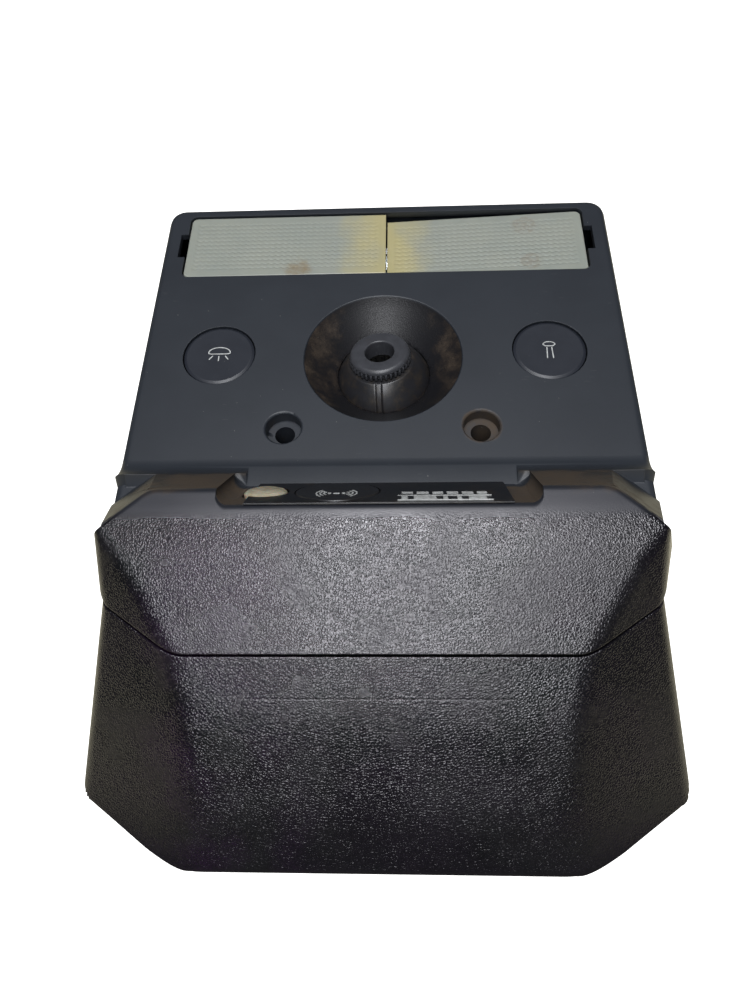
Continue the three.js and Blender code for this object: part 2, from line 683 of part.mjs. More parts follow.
function screw([x, y], [headZ, tipZ], headRadius, shankRadius) {
  const facingUp = tipZ > headZ ? 1 : -1;
  const along = (distance) => headZ + facingUp * distance;
  const profile = [[0, along(0)], [headRadius * 0.7, along(0)], [headRadius, along(0.7)], [headRadius, along(1.6)],
    [shankRadius, along(1.6)], [shankRadius, tipZ - facingUp * 1.5], [0, tipZ]];
  return turned(profile, 10, at(x, y));
}

const backPlateScrew = (spot) => screw(spot, [backPlateZ - gap - 1.6, 12], 3, 1.4);
const boardScrew = (spot) => screw(spot, [boardZ + boardThickness + gap + 1.6, 6], 2.4, 1);

function alarmBoard() {
  const board = block([-56, 56], [-70, -33], [boardZ, boardZ + boardThickness]);
  const clearances = [
    ...noseBosses.map(([x, y]) => disc(x, y, [0, 30], bossRadius + 0.6, 14)),
    ...boardPosts.map(([x, y]) => disc(x, y, [0, 30], 1.35, 8)),
  ];
  return cut(board, ...clearances);
}

const onBoard = (height) => [boardZ + boardThickness + gap, boardZ + boardThickness + gap + height];

const chips = [
  ['control_chip', [-12, 8], [-57, -49], 3],
  ['timer_chip', [-27, -19], [-52, -46], 2],
  ['driver_chip', [20, 28], [-55, -49], 2],
];
const capacitors = [[44, -60, 7.5, 4], [34, -50, 7, 3], [-24, -62, 7, 3]];

const chip = (x, y, height) => block(x, y, onBoard(height));
const capacitor = ([x, y, height, radius]) => disc(x, y, onBoard(height), radius, 14);
const alarmRelay = () => block([-53, -38], [-66, -53], onBoard(9));

function harnessSocket() {
  const span = [3.4, boardZ - gap];
  const body = block([-11.5, 11.5], [socketY - 5.5, socketY + 5.5], span);
  return cut(body, block([-10, 10], [socketY - 4, socketY + 4], [0, 9.6]));
}

// Contact pins standing on one carrier strip at the bottom of the socket.
function socketPins() {
  const carrier = block([-8, 8], [socketY - 3, socketY + 3], [8.3, 9.25]);
  const pins = [-6, -2, 2, 6].flatMap((x) => [-1.7, 1.7].map((y) =>
    block([x - 0.4, x + 0.4], [socketY + y - 0.4, socketY + y + 0.4], [5.4, 8.6])));
  return join(carrier, ...pins);
}

// Assembly.

const parts = [
  ['front_panel', frontPanel(), panelPlastic],
  ['nose_cover', noseCover(), grainedPlastic],
  ['nose_apron', noseApron(), grainedPlastic],
  ['back_plate', backPlate(), blackPlastic],
  ['lens_left', leftDiffuser(), lensPlastic],
  ['lens_right', rightDiffuser(), lensPlastic],
  ['lamp_box', lampBoxTray(), blackPlastic],
  ['bulb_reflector', bulbReflector(), brightMetal],
  ['bulb_clip_left', bulbClip(-1), brassMetal],
  ['bulb_clip_right', bulbClip(1), brassMetal],
  ['dome_bulb_glass', domeBulbGlass(), glass],
  ['dome_bulb_cap_left', domeBulbCap(-1), brightMetal],
  ['dome_bulb_cap_right', domeBulbCap(1), brightMetal],
  ['dome_bulb_filament', domeBulbFilament(), steel],
  ['dome_button', pushButton(-1), panelPlastic],
  ['dome_button_spring', buttonSpring(-1), steel],
  ['dome_switch', pushSwitch(-1), blackPlastic],
  ['spot_button', pushButton(1), panelPlastic],
  ['spot_button_spring', buttonSpring(1), steel],
  ['spot_switch', pushSwitch(1), blackPlastic],
  ['spot_retainer', spotRetainer(), blackPlastic],
  ['spot_seat_ring', spotRing(), blackPlastic],
  ['spot_ball', spotBall(), blackPlastic],
  ['spot_knob', spotKnob(), panelPlastic],
  ['spot_bulb', spotBulbGlass(), glass],
  ['spot_bulb_holder', spotBulbHolder(), whitePlastic],
  ['label_strip', labelStrip(), blackPlastic],
  ['sensor_button', sensorButton(), blackPlastic],
  ['sensor_switch', sensorSwitch(), blackPlastic],
  ['sensor_board', sensorBoard(), boardGreen],
  ['status_window', statusWindow(), creamPlastic],
  ['status_led', statusLed(), whitePlastic],
  ['alarm_board', alarmBoard(), boardGreen],
  ['alarm_relay', alarmRelay(), whitePlastic],
  ['harness_socket', harnessSocket(), whitePlastic],
  ['harness_socket_pins', socketPins(), brassMetal],
  ...chips.map(([name, x, y, height]) => [name, chip(x, y, height), blackPlastic]),
  ...capacitors.map((place, i) => [`capacitor_${i + 1}`, capacitor(place), blackPlastic]),
  ...boardPosts.map((spot, i) => [`alarm_board_screw_${i + 1}`, boardScrew(spot), steel]),
  ...[...panelBosses, ...noseBosses, ...apronBosses]
    .map((spot, i) => [`back_plate_screw_${i + 1}`, backPlateScrew(spot), steel]),
];

const console_ = new THREE.Group();
for (const [name, body, material] of parts) {
  const { vertProperties, triVerts } = body.getMesh();
  const geometry = new THREE.BufferGeometry();
  geometry.setAttribute('position', new THREE.BufferAttribute(vertProperties, 3));
  geometry.setIndex(new THREE.BufferAttribute(triVerts, 1));
  const mesh = new THREE.Mesh(geometry, material);
  mesh.name = name;
  console_.add(mesh);
}

export default console_;
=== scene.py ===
import json
import math

import bmesh
import bpy
import numpy as np
from mathutils import Matrix, Vector

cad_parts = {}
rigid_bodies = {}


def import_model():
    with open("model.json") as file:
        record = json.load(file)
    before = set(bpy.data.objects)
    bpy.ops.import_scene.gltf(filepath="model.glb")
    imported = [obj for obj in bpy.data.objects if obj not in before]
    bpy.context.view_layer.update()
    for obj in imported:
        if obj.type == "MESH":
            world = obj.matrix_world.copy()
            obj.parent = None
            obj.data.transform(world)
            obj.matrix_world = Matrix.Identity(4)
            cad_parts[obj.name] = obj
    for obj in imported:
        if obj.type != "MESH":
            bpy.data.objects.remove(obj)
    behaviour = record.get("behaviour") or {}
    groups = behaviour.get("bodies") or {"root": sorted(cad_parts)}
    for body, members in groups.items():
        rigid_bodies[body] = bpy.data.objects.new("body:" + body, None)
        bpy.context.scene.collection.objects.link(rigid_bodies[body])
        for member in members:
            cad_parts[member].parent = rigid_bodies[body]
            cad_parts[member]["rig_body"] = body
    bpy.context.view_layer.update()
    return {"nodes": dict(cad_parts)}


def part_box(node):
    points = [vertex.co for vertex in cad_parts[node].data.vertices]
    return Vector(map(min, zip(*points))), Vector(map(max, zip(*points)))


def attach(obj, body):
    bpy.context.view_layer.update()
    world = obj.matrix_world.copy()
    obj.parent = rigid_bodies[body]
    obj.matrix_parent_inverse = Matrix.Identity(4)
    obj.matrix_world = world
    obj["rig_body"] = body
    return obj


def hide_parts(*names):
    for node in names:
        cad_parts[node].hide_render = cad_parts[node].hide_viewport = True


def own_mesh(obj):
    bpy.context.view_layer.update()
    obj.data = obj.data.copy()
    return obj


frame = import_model()
scene = bpy.context.scene
mm = 0.001  # everything below is drawn in millimetres, and made in metres
print("frame:", len(frame["nodes"]), "parts")


def addNode(tree, kind, inputs=None, **settings):
    node = tree.nodes.new("ShaderNode" + kind)
    for name, value in settings.items():
        setattr(node, name, value)
    for name, value in (inputs or {}).items():
        feed(tree, node.inputs[name], value)
    return node


def feed(tree, socket, value):
    if isinstance(value, bpy.types.NodeSocket):
        tree.links.new(value, socket)
    else:
        socket.default_value = value


def calc(tree, operation, a, b=0.0):
    return addNode(tree, "Math", {0: a, 1: b}, operation=operation).outputs[0]


def times(tree, a, b):
    return calc(tree, "MULTIPLY", a, b)


def plus(tree, a, b):
    return calc(tree, "ADD", a, b)


def minus(tree, a, b):
    return calc(tree, "SUBTRACT", a, b)


def absolute(tree, a):
    return calc(tree, "ABSOLUTE", a)


def noise(tree, position, scale, detail=2.0, roughness=0.5):
    return addNode(tree, "TexNoise", {
        "Vector": position, "Scale": scale, "Detail": detail, "Roughness": roughness}).outputs[0]


def fade(tree, value, start, end, low=0.0, high=1.0):
    node = addNode(tree, "MapRange", interpolation_type="SMOOTHSTEP")
    for name, given in zip(("Value", "From Min", "From Max", "To Min", "To Max"), (value, start, end, low, high)):
        feed(tree, node.inputs[name], given)
    return node.outputs["Result"]


def tint(tree, amount, a, b, blend="MIX"):
    node = addNode(tree, "Mix", data_type="RGBA", blend_type=blend)
    for index, given in ((0, amount), (6, a), (7, b)):
        feed(tree, node.inputs[index], given)
    return node.outputs[2]


def paint(red, green, blue):  # 0-255 display colour, to linear
    def linear(value):
        value /= 255
        return value / 12.92 if value <= 0.04045 else ((value + 0.055) / 1.055) ** 2.4
    return (linear(red), linear(green), linear(blue), 1.0)


def newGroup(name, inputs, outputs):
    tree = bpy.data.node_groups.new(name, "ShaderNodeTree")
    for label, kind, value in inputs:
        socket = tree.interface.new_socket(label, in_out="INPUT", socket_type=kind)
        if value is not None:
            socket.default_value = value
    for label, kind in outputs:
        tree.interface.new_socket(label, in_out="OUTPUT", socket_type=kind)
    return tree, tree.nodes.new("NodeGroupInput").outputs, tree.nodes.new("NodeGroupOutput").inputs


def placeGroup(tree, group, inputs):
    node = tree.nodes.new("ShaderNodeGroup")
    node.node_tree = group
    for name, value in inputs.items():
        feed(tree, node.inputs[name], value)
    return node.outputs


number, colour, vector = "NodeSocketFloat", "NodeSocketColor", "NodeSocketVector"
grey = (0.5, 0.5, 0.5, 1.0)


def buildMouldTexture():  # fine spark-eroded texture of a moulded face
    tree, given, out = newGroup(
        "mouldTexture", [("Position", vector, None), ("Grain Size", number, 0.3), ("Depth", number, 0.02)],
        [("Height", number)])
    fine = noise(tree, given["Position"], calc(tree, "DIVIDE", 1.0, given["Grain Size"]), 2.0, 0.6)
    tree.links.new(times(tree, fine, given["Depth"]), out["Height"])
    return tree


def buildLeatherGrain():  # rounded pebbles between creases, with a few longer wrinkles
    tree, given, out = newGroup(
        "leatherGrain", [("Position", vector, None), ("Cell", number, 0.7), ("Depth", number, 0.05)],
        [("Height", number), ("Crease", number)])
    density = calc(tree, "DIVIDE", 1.0, given["Cell"])
    bend = addNode(tree, "TexNoise", {"Vector": given["Position"], "Scale": density, "Detail": 1.0})
    half = (0.5, 0.5, 0.5)
    shift = addNode(tree, "VectorMath", {0: bend.outputs["Color"], 1: half}, operation="SUBTRACT")
    shift = addNode(tree, "VectorMath", {0: shift.outputs[0], 1: half}, operation="MULTIPLY")
    moved = addNode(tree, "VectorMath", {0: given["Position"], 1: shift.outputs[0]}, operation="ADD")
    cells = addNode(tree, "TexVoronoi", {"Vector": moved.outputs[0], "Scale": density, "Randomness": 1.0},
                    feature="DISTANCE_TO_EDGE")
    pebble = fade(tree, cells.outputs["Distance"], 0.0, 0.32)
    small = addNode(tree, "TexVoronoi", {"Vector": moved.outputs[0], "Scale": times(tree, density, 1.9)},
                    feature="SMOOTH_F1")
    wrinkle = noise(tree, given["Position"], times(tree, density, 0.35), 3.0)
    body = minus(tree, pebble, times(tree, small.outputs["Distance"], 0.5))
    body = plus(tree, body, times(tree, wrinkle, 0.3))
    tree.links.new(times(tree, body, given["Depth"]), out["Height"])
    tree.links.new(minus(tree, 1.0, pebble), out["Crease"])
    return tree


def buildMottle():  # slow change of shade over a moulding
    tree, given, out = newGroup(
        "mottle", [("Position", vector, None), ("Base", colour, grey), ("Other", colour, grey),
                   ("Patch Size", number, 20.0), ("Amount", number, 0.5)],
        [("Color", colour)])
    patches = noise(tree, given["Position"], calc(tree, "DIVIDE", 1.0, given["Patch Size"]), 4.0, 0.6)
    amount = times(tree, fade(tree, patches, 0.35, 0.68), given["Amount"])
    tree.links.new(tint(tree, amount, given["Base"], given["Other"]), out["Color"])
    return tree


def buildGrime():  # dried dirt in granular patches, thicker where Spread is high
    tree, given, out = newGroup(
        "grime", [("Position", vector, None), ("Base", colour, grey), ("Dirt", colour, grey),
                  ("Spread", number, 0.5), ("Patch Size", number, 5.0)],
        [("Color", colour), ("Mask", number)])
    patches = noise(tree, given["Position"], calc(tree, "DIVIDE", 1.0, given["Patch Size"]), 5.0, 0.65)
    grains = noise(tree, given["Position"], 2.6, 1.0)
    level = plus(tree, plus(tree, patches, times(tree, grains, 0.25)), given["Spread"])
    mask = times(tree, fade(tree, level, 0.85, 1.45), fade(tree, given["Spread"], 0.0, 0.15))
    tree.links.new(tint(tree, mask, given["Base"], given["Dirt"]), out["Color"])
    tree.links.new(mask, out["Mask"])
    return tree


def buildDust():  # scattered pale specks
    tree, given, out = newGroup(
        "dust", [("Position", vector, None), ("Spacing", number, 3.0), ("Speck", number, 0.08)],
        [("Mask", number)])
    cells = addNode(tree, "TexVoronoi", {
        "Vector": given["Position"], "Scale": calc(tree, "DIVIDE", 1.0, given["Spacing"])})
    chosen = addNode(tree, "SeparateColor", {0: cells.outputs["Color"]})
    size = times(tree, given["Speck"], fade(tree, chosen.outputs[0], 0.45, 1.0))
    tree.links.new(calc(tree, "LESS_THAN", cells.outputs["Distance"], size), out["Mask"])
    return tree


def buildScratches():  # short hairline scratches in two directions
    tree, given, out = newGroup(
        "scratches", [("Position", vector, None), ("Length", number, 9.0), ("Amount", number, 0.5)],
        [("Mask", number)])
    masks = []
    for angle in (24, -57):
        laid = addNode(tree, "Mapping", {
            "Vector": given["Position"], "Rotation": (0, 0, math.radians(angle)), "Scale": (0.08, 2.2, 2.2)})
        lines = addNode(tree, "TexVoronoi", {"Vector": laid.outputs[0], "Scale": 0.55})
        masks.append(calc(tree, "LESS_THAN", lines.outputs["Distance"], 0.045))
    patches = noise(tree, given["Position"], calc(tree, "DIVIDE", 1.0, given["Length"]))
    kept = times(tree, calc(tree, "MAXIMUM", *masks), fade(tree, patches, 0.5, 0.62))
    tree.links.new(times(tree, kept, given["Amount"]), out["Mask"])
    return tree


mouldTexture = buildMouldTexture()
leatherGrain = buildLeatherGrain()
mottle = buildMottle()
grime = buildGrime()
dust = buildDust()
scratches = buildScratches()


def textured(tree, position, grainSize, depth):
    return placeGroup(tree, mouldTexture, {"Position": position, "Grain Size": grainSize, "Depth": depth})["Height"]


def mottled(tree, position, base, other, patch, amount):
    return placeGroup(tree, mottle, {
        "Position": position, "Base": base, "Other": other, "Patch Size": patch, "Amount": amount})["Color"]


def soiled(tree, position, base, dirt, spread, patch):
    return placeGroup(tree, grime, {
        "Position": position, "Base": base, "Dirt": dirt, "Spread": spread, "Patch Size": patch})


def specked(tree, position, spacing, speck):
    return placeGroup(tree, dust, {"Position": position, "Spacing": spacing, "Speck": speck})["Mask"]


def scratched(tree, position, length, amount):
    return placeGroup(tree, scratches, {"Position": position, "Length": length, "Amount": amount})["Mask"]


def newFinish(name, **values):
    material = bpy.data.materials.new(name)
    material.use_nodes = True
    tree = material.node_tree
    shader = tree.nodes["Principled BSDF"]
    for label, value in values.items():
        shader.inputs[label.replace("_", " ")].default_value = value
    place = addNode(tree, "TexCoord")
    position = addNode(tree, "VectorMath", {0: place.outputs["Object"], 1: (1000, 1000, 1000)},
                       operation="MULTIPLY").outputs[0]
    return material, tree, shader, position


def roughen(tree, shader, height, strength=1.0):  # heights are in millimetres
    bump = addNode(tree, "Bump", {"Height": height, "Distance": mm, "Strength": strength})
    tree.links.new(bump.outputs[0], shader.inputs["Normal"])


def nearAxis(tree, position, x, y, inner, outer):  # 1 near an upright axis, 0 past the outer radius
    parts = addNode(tree, "VectorMath", {0: position, 1: (x, y, 0)}, operation="SUBTRACT")
    flat = addNode(tree, "VectorMath", {0: parts.outputs[0], 1: (1, 1, 0)}, operation="MULTIPLY")
    reach = addNode(tree, "VectorMath", {0: flat.outputs[0]}, operation="LENGTH")
    return fade(tree, reach.outputs["Value"], inner, outer, 1.0, 0.0)


def nearLine(tree, value, line):  # 1 on a fine line where the value is met
    return fade(tree, absolute(tree, minus(tree, value, line)), 0.1, 0.35, 1.0, 0.0)


panelLook = {
    "face": paint(34, 38, 44), "shade": paint(28, 32, 38), "cone": paint(20, 20, 23), "wall": paint(38, 37, 36),
    "dirt": paint(60, 49, 37), "dust": paint(150, 150, 145), "roughness": 0.48, "grain": 0.32, "grainDepth": 0.016,
    "coneRim": 25.6, "pocketEnd": 44.0, "holeX": 29.9, "holeY": 11.5,
}


def buildPanelFinish():
    look = panelLook
    material, tree, shader, position = newFinish("panelPlastic", Roughness=look["roughness"], IOR=1.5)
    axes = addNode(tree, "SeparateXYZ", {0: position}).outputs
    base = mottled(tree, position, look["face"], look["shade"], 28.0, 0.6)
    below = fade(tree, axes["Z"], 27.4, 27.95, 1.0, 0.0)
    inCone = times(tree, nearAxis(tree, position, 0, spot["y"], look["coneRim"], look["coneRim"] + 0.8), below)
    # painted shade, partly a dirtier surface: the cone's hollow is darker than the face
    base = tint(tree, inCone, base, look["cone"])
    onWall = fade(tree, axes["Z"], 28.3, 33.0)
    base = tint(tree, times(tree, onWall, 0.75), base, look["wall"])
    around = absolute(tree, minus(tree, axes["X"], 1.5))
    coneSides = times(tree, fade(tree, around, 6.0, 22.0, 0.08, 0.46), inCone)
    fromEnd = absolute(tree, minus(tree, absolute(tree, axes["X"]), look["pocketEnd"]))
    pocketEnds = times(tree, fade(tree, fromEnd, 2.0, 30.0, 0.72, 0.34), onWall)
    right, left = [nearAxis(tree, position, side * look["holeX"], look["holeY"], 5.4, 7.5) for side in (1, -1)]
    screwHoles = times(tree, plus(tree, right, times(tree, left, 0.35)), 0.6)
    spread = calc(tree, "MAXIMUM", calc(tree, "MAXIMUM", coneSides, pocketEnds), screwHoles)
    dirty = soiled(tree, position, base, look["dirt"], spread, 6.0)
    specks = specked(tree, position, 3.4, 0.045)
    marks = scratched(tree, position, 12.0, 0.35)
    worn = calc(tree, "MAXIMUM", times(tree, specks, 0.5), times(tree, marks, 0.4))
    tree.links.new(tint(tree, worn, dirty["Color"], look["dust"]), shader.inputs["Base Color"])
    gloss = plus(tree, fade(tree, dirty["Mask"], 0, 1, look["roughness"], 0.78), times(tree, inCone, -0.06))
    tree.links.new(plus(tree, gloss, times(tree, worn, 0.15)), shader.inputs["Roughness"])
    depth = plus(tree, look["grainDepth"], times(tree, inCone, 0.055))
    height = textured(tree, position, look["grain"], depth)
    roughen(tree, shader, plus(tree, height, times(tree, dirty["Mask"], 0.02)))
    return material


grainLook = {
    "face": paint(13, 13, 16), "purple": paint(32, 14, 38), "creaseShade": paint(7, 7, 9), "ridge": paint(28, 30, 36),
    "dust": paint(110, 108, 106), "dirt": paint(52, 44, 36), "roughness": 0.24, "cell": 0.7, "depth": 0.046,
    "trimX": 34.2, "trimY": -70.8, "trimDepth": 0.035,
}


def buildGrainFinish():
    look = grainLook
    material, tree, shader, position = newFinish("grainedPlastic", IOR=1.56, Specular_Tint=(1.0, 0.975, 1.0, 1.0))
    axes = addNode(tree, "SeparateXYZ", {0: position}).outputs
    grained = fade(tree, axes["Y"], -26.5, -31.0)  # the grain dies away on the smooth ridge
    grain = placeGroup(tree, leatherGrain, {"Position": position, "Cell": look["cell"], "Depth": look["depth"]})
    sheenTintZone = times(tree, fade(tree, axes["X"], -12.0, -32.0), fade(tree, axes["X"], -66.0, -48.0))  # painted reflection: the sheen's violet cast, left of centre, over an even violet mottle
    sheenViolet = plus(tree, 0.2, times(tree, sheenTintZone, 0.7))
    base = mottled(tree, position, look["face"], look["purple"], 26.0, sheenViolet)
    # painted shade: the grain's creases are darkened
    base = tint(tree, times(tree, grain["Crease"], 0.7), base, look["creaseShade"])
    base = tint(tree, grained, look["ridge"], base)
    across = absolute(tree, axes["X"])
    ridgeDirt = plus(tree, 0.25, times(tree, fade(tree, across, 40.0, 60.0), 0.35))
    onRidge = times(tree, fade(tree, axes["Y"], -26.0, -20.5), ridgeDirt)
    dirty = soiled(tree, position, base, look["dirt"], onRidge, 5.0)
    specks = times(tree, specked(tree, position, 4.2, 0.035), 0.4)
    tree.links.new(tint(tree, specks, dirty["Color"], look["dust"]), shader.inputs["Base Color"])
    polish = noise(tree, position, 0.06, 3.0)
    gloss = fade(tree, polish, 0.3, 0.7, look["roughness"] - 0.04, look["roughness"] + 0.06)
    gloss = plus(tree, gloss, times(tree, minus(tree, 1.0, grained), 0.16))
    tree.links.new(gloss, shader.inputs["Roughness"])
    sideLine = times(tree, nearLine(tree, across, look["trimX"]), fade(tree, axes["Y"], -70.4, -71.0))
    topLine = times(tree, nearLine(tree, axes["Y"], look["trimY"]), fade(tree, across, 34.4, 34.0))
    witness = times(tree, calc(tree, "MAXIMUM", sideLine, topLine), look["trimDepth"])
    height = times(tree, grain["Height"], fade(tree, grained, 0, 1, 0.06, 1.0))
    roughen(tree, shader, minus(tree, height, witness))
    return material


def buildPlainFinish(name, base, other, roughness, grainDepth=0.012, patch=6.0, dirt=0.0, specks=0.0, **values):
    material, tree, shader, position = newFinish(name, **values)  # moulded plastic, lacquer or metal
    shade = mottled(tree, position, paint(*base), paint(*other), patch, 0.8)
    dirty = soiled(tree, position, shade, paint(60, 50, 38), dirt, patch)
    pale = times(tree, specked(tree, position, 2.2, 0.05), specks)
    tree.links.new(tint(tree, pale, dirty["Color"], paint(150, 148, 140)), shader.inputs["Base Color"])
    gloss = fade(tree, dirty["Mask"], 0, 1, roughness, 0.8)
    tree.links.new(plus(tree, gloss, scratched(tree, position, 6.0, 0.25)), shader.inputs["Roughness"])
    roughen(tree, shader, textured(tree, position, 0.3, grainDepth))
    return material


lensLook = {
    "milk": paint(137, 140, 131), "cool": paint(130, 135, 128), "yellow": paint(163, 154, 112),
    "stain": paint(122, 106, 80), "mark": paint(118, 106, 94), "roughness": 0.34,
    "mouldMarks": ((49.3, 98.0, 4.2), (50.6, 80.6, 3.6)),  # x, y and radius
}


def buildLensFinish():  # milky diffuser, yellowed by the bulb's heat at the split
    look = lensLook
    material, tree, shader, position = newFinish(
        "lensPlastic", Roughness=look["roughness"], IOR=1.49, Subsurface_Weight=0.35, Subsurface_Scale=0.002)
    shader.inputs["Subsurface Radius"].default_value = (1.0, 0.9, 0.7)
    axes = addNode(tree, "SeparateXYZ", {0: position}).outputs
    base = mottled(tree, position, look["milk"], look["cool"], 18.0, 0.7)
    waver = times(tree, minus(tree, noise(tree, position, 0.09, 2.0), 0.5), 20.0)
    across = plus(tree, absolute(tree, minus(tree, axes["X"], 0.5)), waver)
    heated = times(tree, fade(tree, across, 0.0, 19.0, 1.0, 0.0), 0.9)
    base = tint(tree, heated, base, look["yellow"])
    stained = times(tree, nearAxis(tree, position, -30.0, 77.5, 1.5, 9.0), 0.55)
    base = soiled(tree, position, base, look["stain"], stained, 4.0)["Color"]
    for x, y, radius in look["mouldMarks"]:
        ring = times(tree, nearAxis(tree, position, x, y, radius - 0.5, radius + 0.5), 0.42)
        speckled = fade(tree, noise(tree, position, 0.9, 3.0), 0.35, 0.6)
        base = tint(tree, times(tree, ring, speckled), base, look["mark"])
    tree.links.new(base, shader.inputs["Base Color"])
    roughen(tree, shader, textured(tree, position, 0.5, 0.01))
    return material


def buildBoardFinish():  # green solder mask with paler tracks
    material, tree, shader, position = newFinish("circuitBoard", Roughness=0.35, IOR=1.5)
    laid = addNode(tree, "Mapping", {"Vector": position, "Scale": (0.28, 0.6, 0.6)})
    tracks = addNode(tree, "TexBrick", {"Vector": laid.outputs[0], "Scale": 0.5, "Mortar Size": 0.06})
    green = mottled(tree, position, paint(34, 84, 52), paint(26, 66, 42), 9.0, 0.7)
    tree.links.new(tint(tree, tracks.outputs["Fac"], green, paint(70, 118, 70)), shader.inputs["Base Color"])
    roughen(tree, shader, times(tree, tracks.outputs["Fac"], 0.03))
    return material


spot = {  # spot lamp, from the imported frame's own sizes
    "y": 38.7, "z": 11.0, "ball": 16.3, "wall": 2.0, "pan": 26.6, "lean": -8.9,
    "keyWidth": 1.25, "keyGroove": 0.34, "keyDepth": 0.45,
}

finishes = {
    "panel": buildPanelFinish(),
    "grained": buildGrainFinish(),
    "lens": buildLensFinish(),
    "board": buildBoardFinish(),
    "button": buildPlainFinish("buttonPlastic", (33, 36, 43), (29, 32, 39), 0.42, specks=0.3),
    "ball": buildPlainFinish("ballPlastic", (26, 26, 29), (20, 20, 22), 0.36, dirt=0.3, patch=4.0, grainDepth=0.008),
    "knob": buildPlainFinish("knobPlastic", (56, 57, 61), (48, 49, 53), 0.4, dirt=0.16, patch=3.0),
    "black": buildPlainFinish("blackPlastic", (24, 25, 28), (18, 18, 20), 0.5, patch=8.0, dirt=0.1),
    "label": buildPlainFinish("labelLacquer", (17, 17, 20), (24, 22, 22), 0.3, dirt=0.22, specks=0.8, patch=7.0),
    "sensor": buildPlainFinish("sensorPlastic", (28, 28, 31), (22, 22, 24), 0.36, dirt=0.2, specks=0.6, patch=5.0),
    "print": buildPlainFinish("whitePrint", (178, 180, 178), (140, 140, 138), 0.6, patch=1.2, dirt=0.2),
    "cream": buildPlainFinish("creamLens", (143, 134, 112), (168, 160, 142), 0.3, patch=3.0, dirt=0.2,
                              Subsurface_Weight=0.3, Subsurface_Scale=0.0015),
    "white": buildPlainFinish("whitePlastic", (205, 203, 194), (188, 184, 170), 0.5, patch=6.0, dirt=0.12),
    "tin": buildPlainFinish("brightMetal", (196, 197, 198), (168, 170, 172), 0.24, patch=5.0, grainDepth=0.006,
                            Metallic=1.0),
    "brass": buildPlainFinish("brass", (190, 154, 88), (158, 122, 66), 0.34, patch=3.0, grainDepth=0.006, Metallic=1.0),
    "steel": buildPlainFinish("steel", (150, 152, 155), (120, 118, 114), 0.38, patch=2.0, grainDepth=0.01,
                              Metallic=1.0),
    "glass": buildPlainFinish("bulbGlass", (235, 240, 242), (228, 232, 232), 0.05, patch=6.0, grainDepth=0.002,
                              Transmission_Weight=1.0, IOR=1.5),
}
print("finishes:", len(finishes))


def move(x, y, z):
    return Matrix.Translation((x, y, z))


def turn(axis, angle):
    return Matrix.Rotation(math.radians(angle), 4, axis)


def placed(points, place):
    grid = np.array(place)
    return np.asarray(points, float) @ grid[:3, :3].T + grid[:3, 3]


def finishPiece(mesh, name, body, finish, stands=(), sharp=34):  # shades, finishes and rides a mesh
    mesh.materials.clear()
    mesh.materials.append(finishes[finish])
    mesh.shade_smooth()
    mesh.set_sharp_from_angle(angle=math.radians(sharp))
    piece = bpy.data.objects.new(name, mesh)
    scene.collection.objects.link(piece)
    evenly = piece.modifiers.new("evenNormals", "WEIGHTED_NORMAL")
    evenly.keep_sharp = True
    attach(piece, body)
    if stands:
        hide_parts(*stands)
    return piece


def meshPiece(name, points, faces, body, slotName, finish, stands=(), place=None, sharp=34):
    points = placed(points, place) if place is not None else np.asarray(points, float)
    mesh = bpy.data.meshes.new(name)
    mesh.from_pydata((points * mm).tolist(), [], [list(map(int, face)) for face in faces])
    shape = bmesh.new()
    shape.from_mesh(mesh)
    bmesh.ops.remove_doubles(shape, verts=shape.verts, dist=1e-6)
    bmesh.ops.recalc_face_normals(shape, faces=shape.faces)
    shape.to_mesh(mesh)
    shape.free()
    return finishPiece(mesh, name, body, finish, stands, sharp)


def joined(*shapes):  # several (points, faces) as one
    points, faces, first = [], [], 0
    for some, corners in shapes:
        points.append(np.asarray(some, float))
        faces += [[first + int(i) for i in face] for face in corners]
        first += len(some)
    return np.concatenate(points), faces


def rounded(corners, steps=4):  # [x, y] corners, with a radius as a third value where one is rounded
    outline = []
    for i, corner in enumerate(corners):
        here = np.array(corner[:2], float)
        if len(corner) < 3 or i in (0, len(corners) - 1):
            outline.append(here)
            continue
        before = np.array(corners[i - 1][:2], float) - here
        after = np.array(corners[i + 1][:2], float) - here
        before /= np.linalg.norm(before)
        after /= np.linalg.norm(after)
        half = math.acos(max(-1, min(1, float(before @ after)))) / 2
        away = corner[2] / math.tan(half)
        centre = here + (before + after) / np.linalg.norm(before + after) * corner[2] / math.sin(half)
        start, end = here + before * away - centre, here + after * away - centre
        sweep = math.pi - 2 * half
        for k in range(steps + 1):
            share = k / steps
            mix = (math.sin((1 - share) * sweep) * start + math.sin(share * sweep) * end) / math.sin(sweep)
            outline.append(centre + mix)
    return [tuple(point) for point in outline]


def turned(profile, segments=96, closed=False):  # body turned about Z from (radius, height) points
    rows = np.array(profile, float)
    angles = np.linspace(0, 2 * math.pi, segments, endpoint=False)
    points = np.stack([
        rows[:, None, 0] * np.cos(angles), rows[:, None, 0] * np.sin(angles),
        np.repeat(rows[:, 1:2], segments, 1)], -1).reshape(-1, 3)
    return points, gridFaces(len(rows), segments, closed, True)


def gridFaces(rows, columns, wrapRows=False, wrapColumns=False):
    faces = []
    for i in range(rows if wrapRows else rows - 1):
        for j in range(columns if wrapColumns else columns - 1):
            below, right = (i + 1) % rows, (j + 1) % columns
            faces.append([i * columns + j, i * columns + right, below * columns + right, below * columns + j])
    return faces


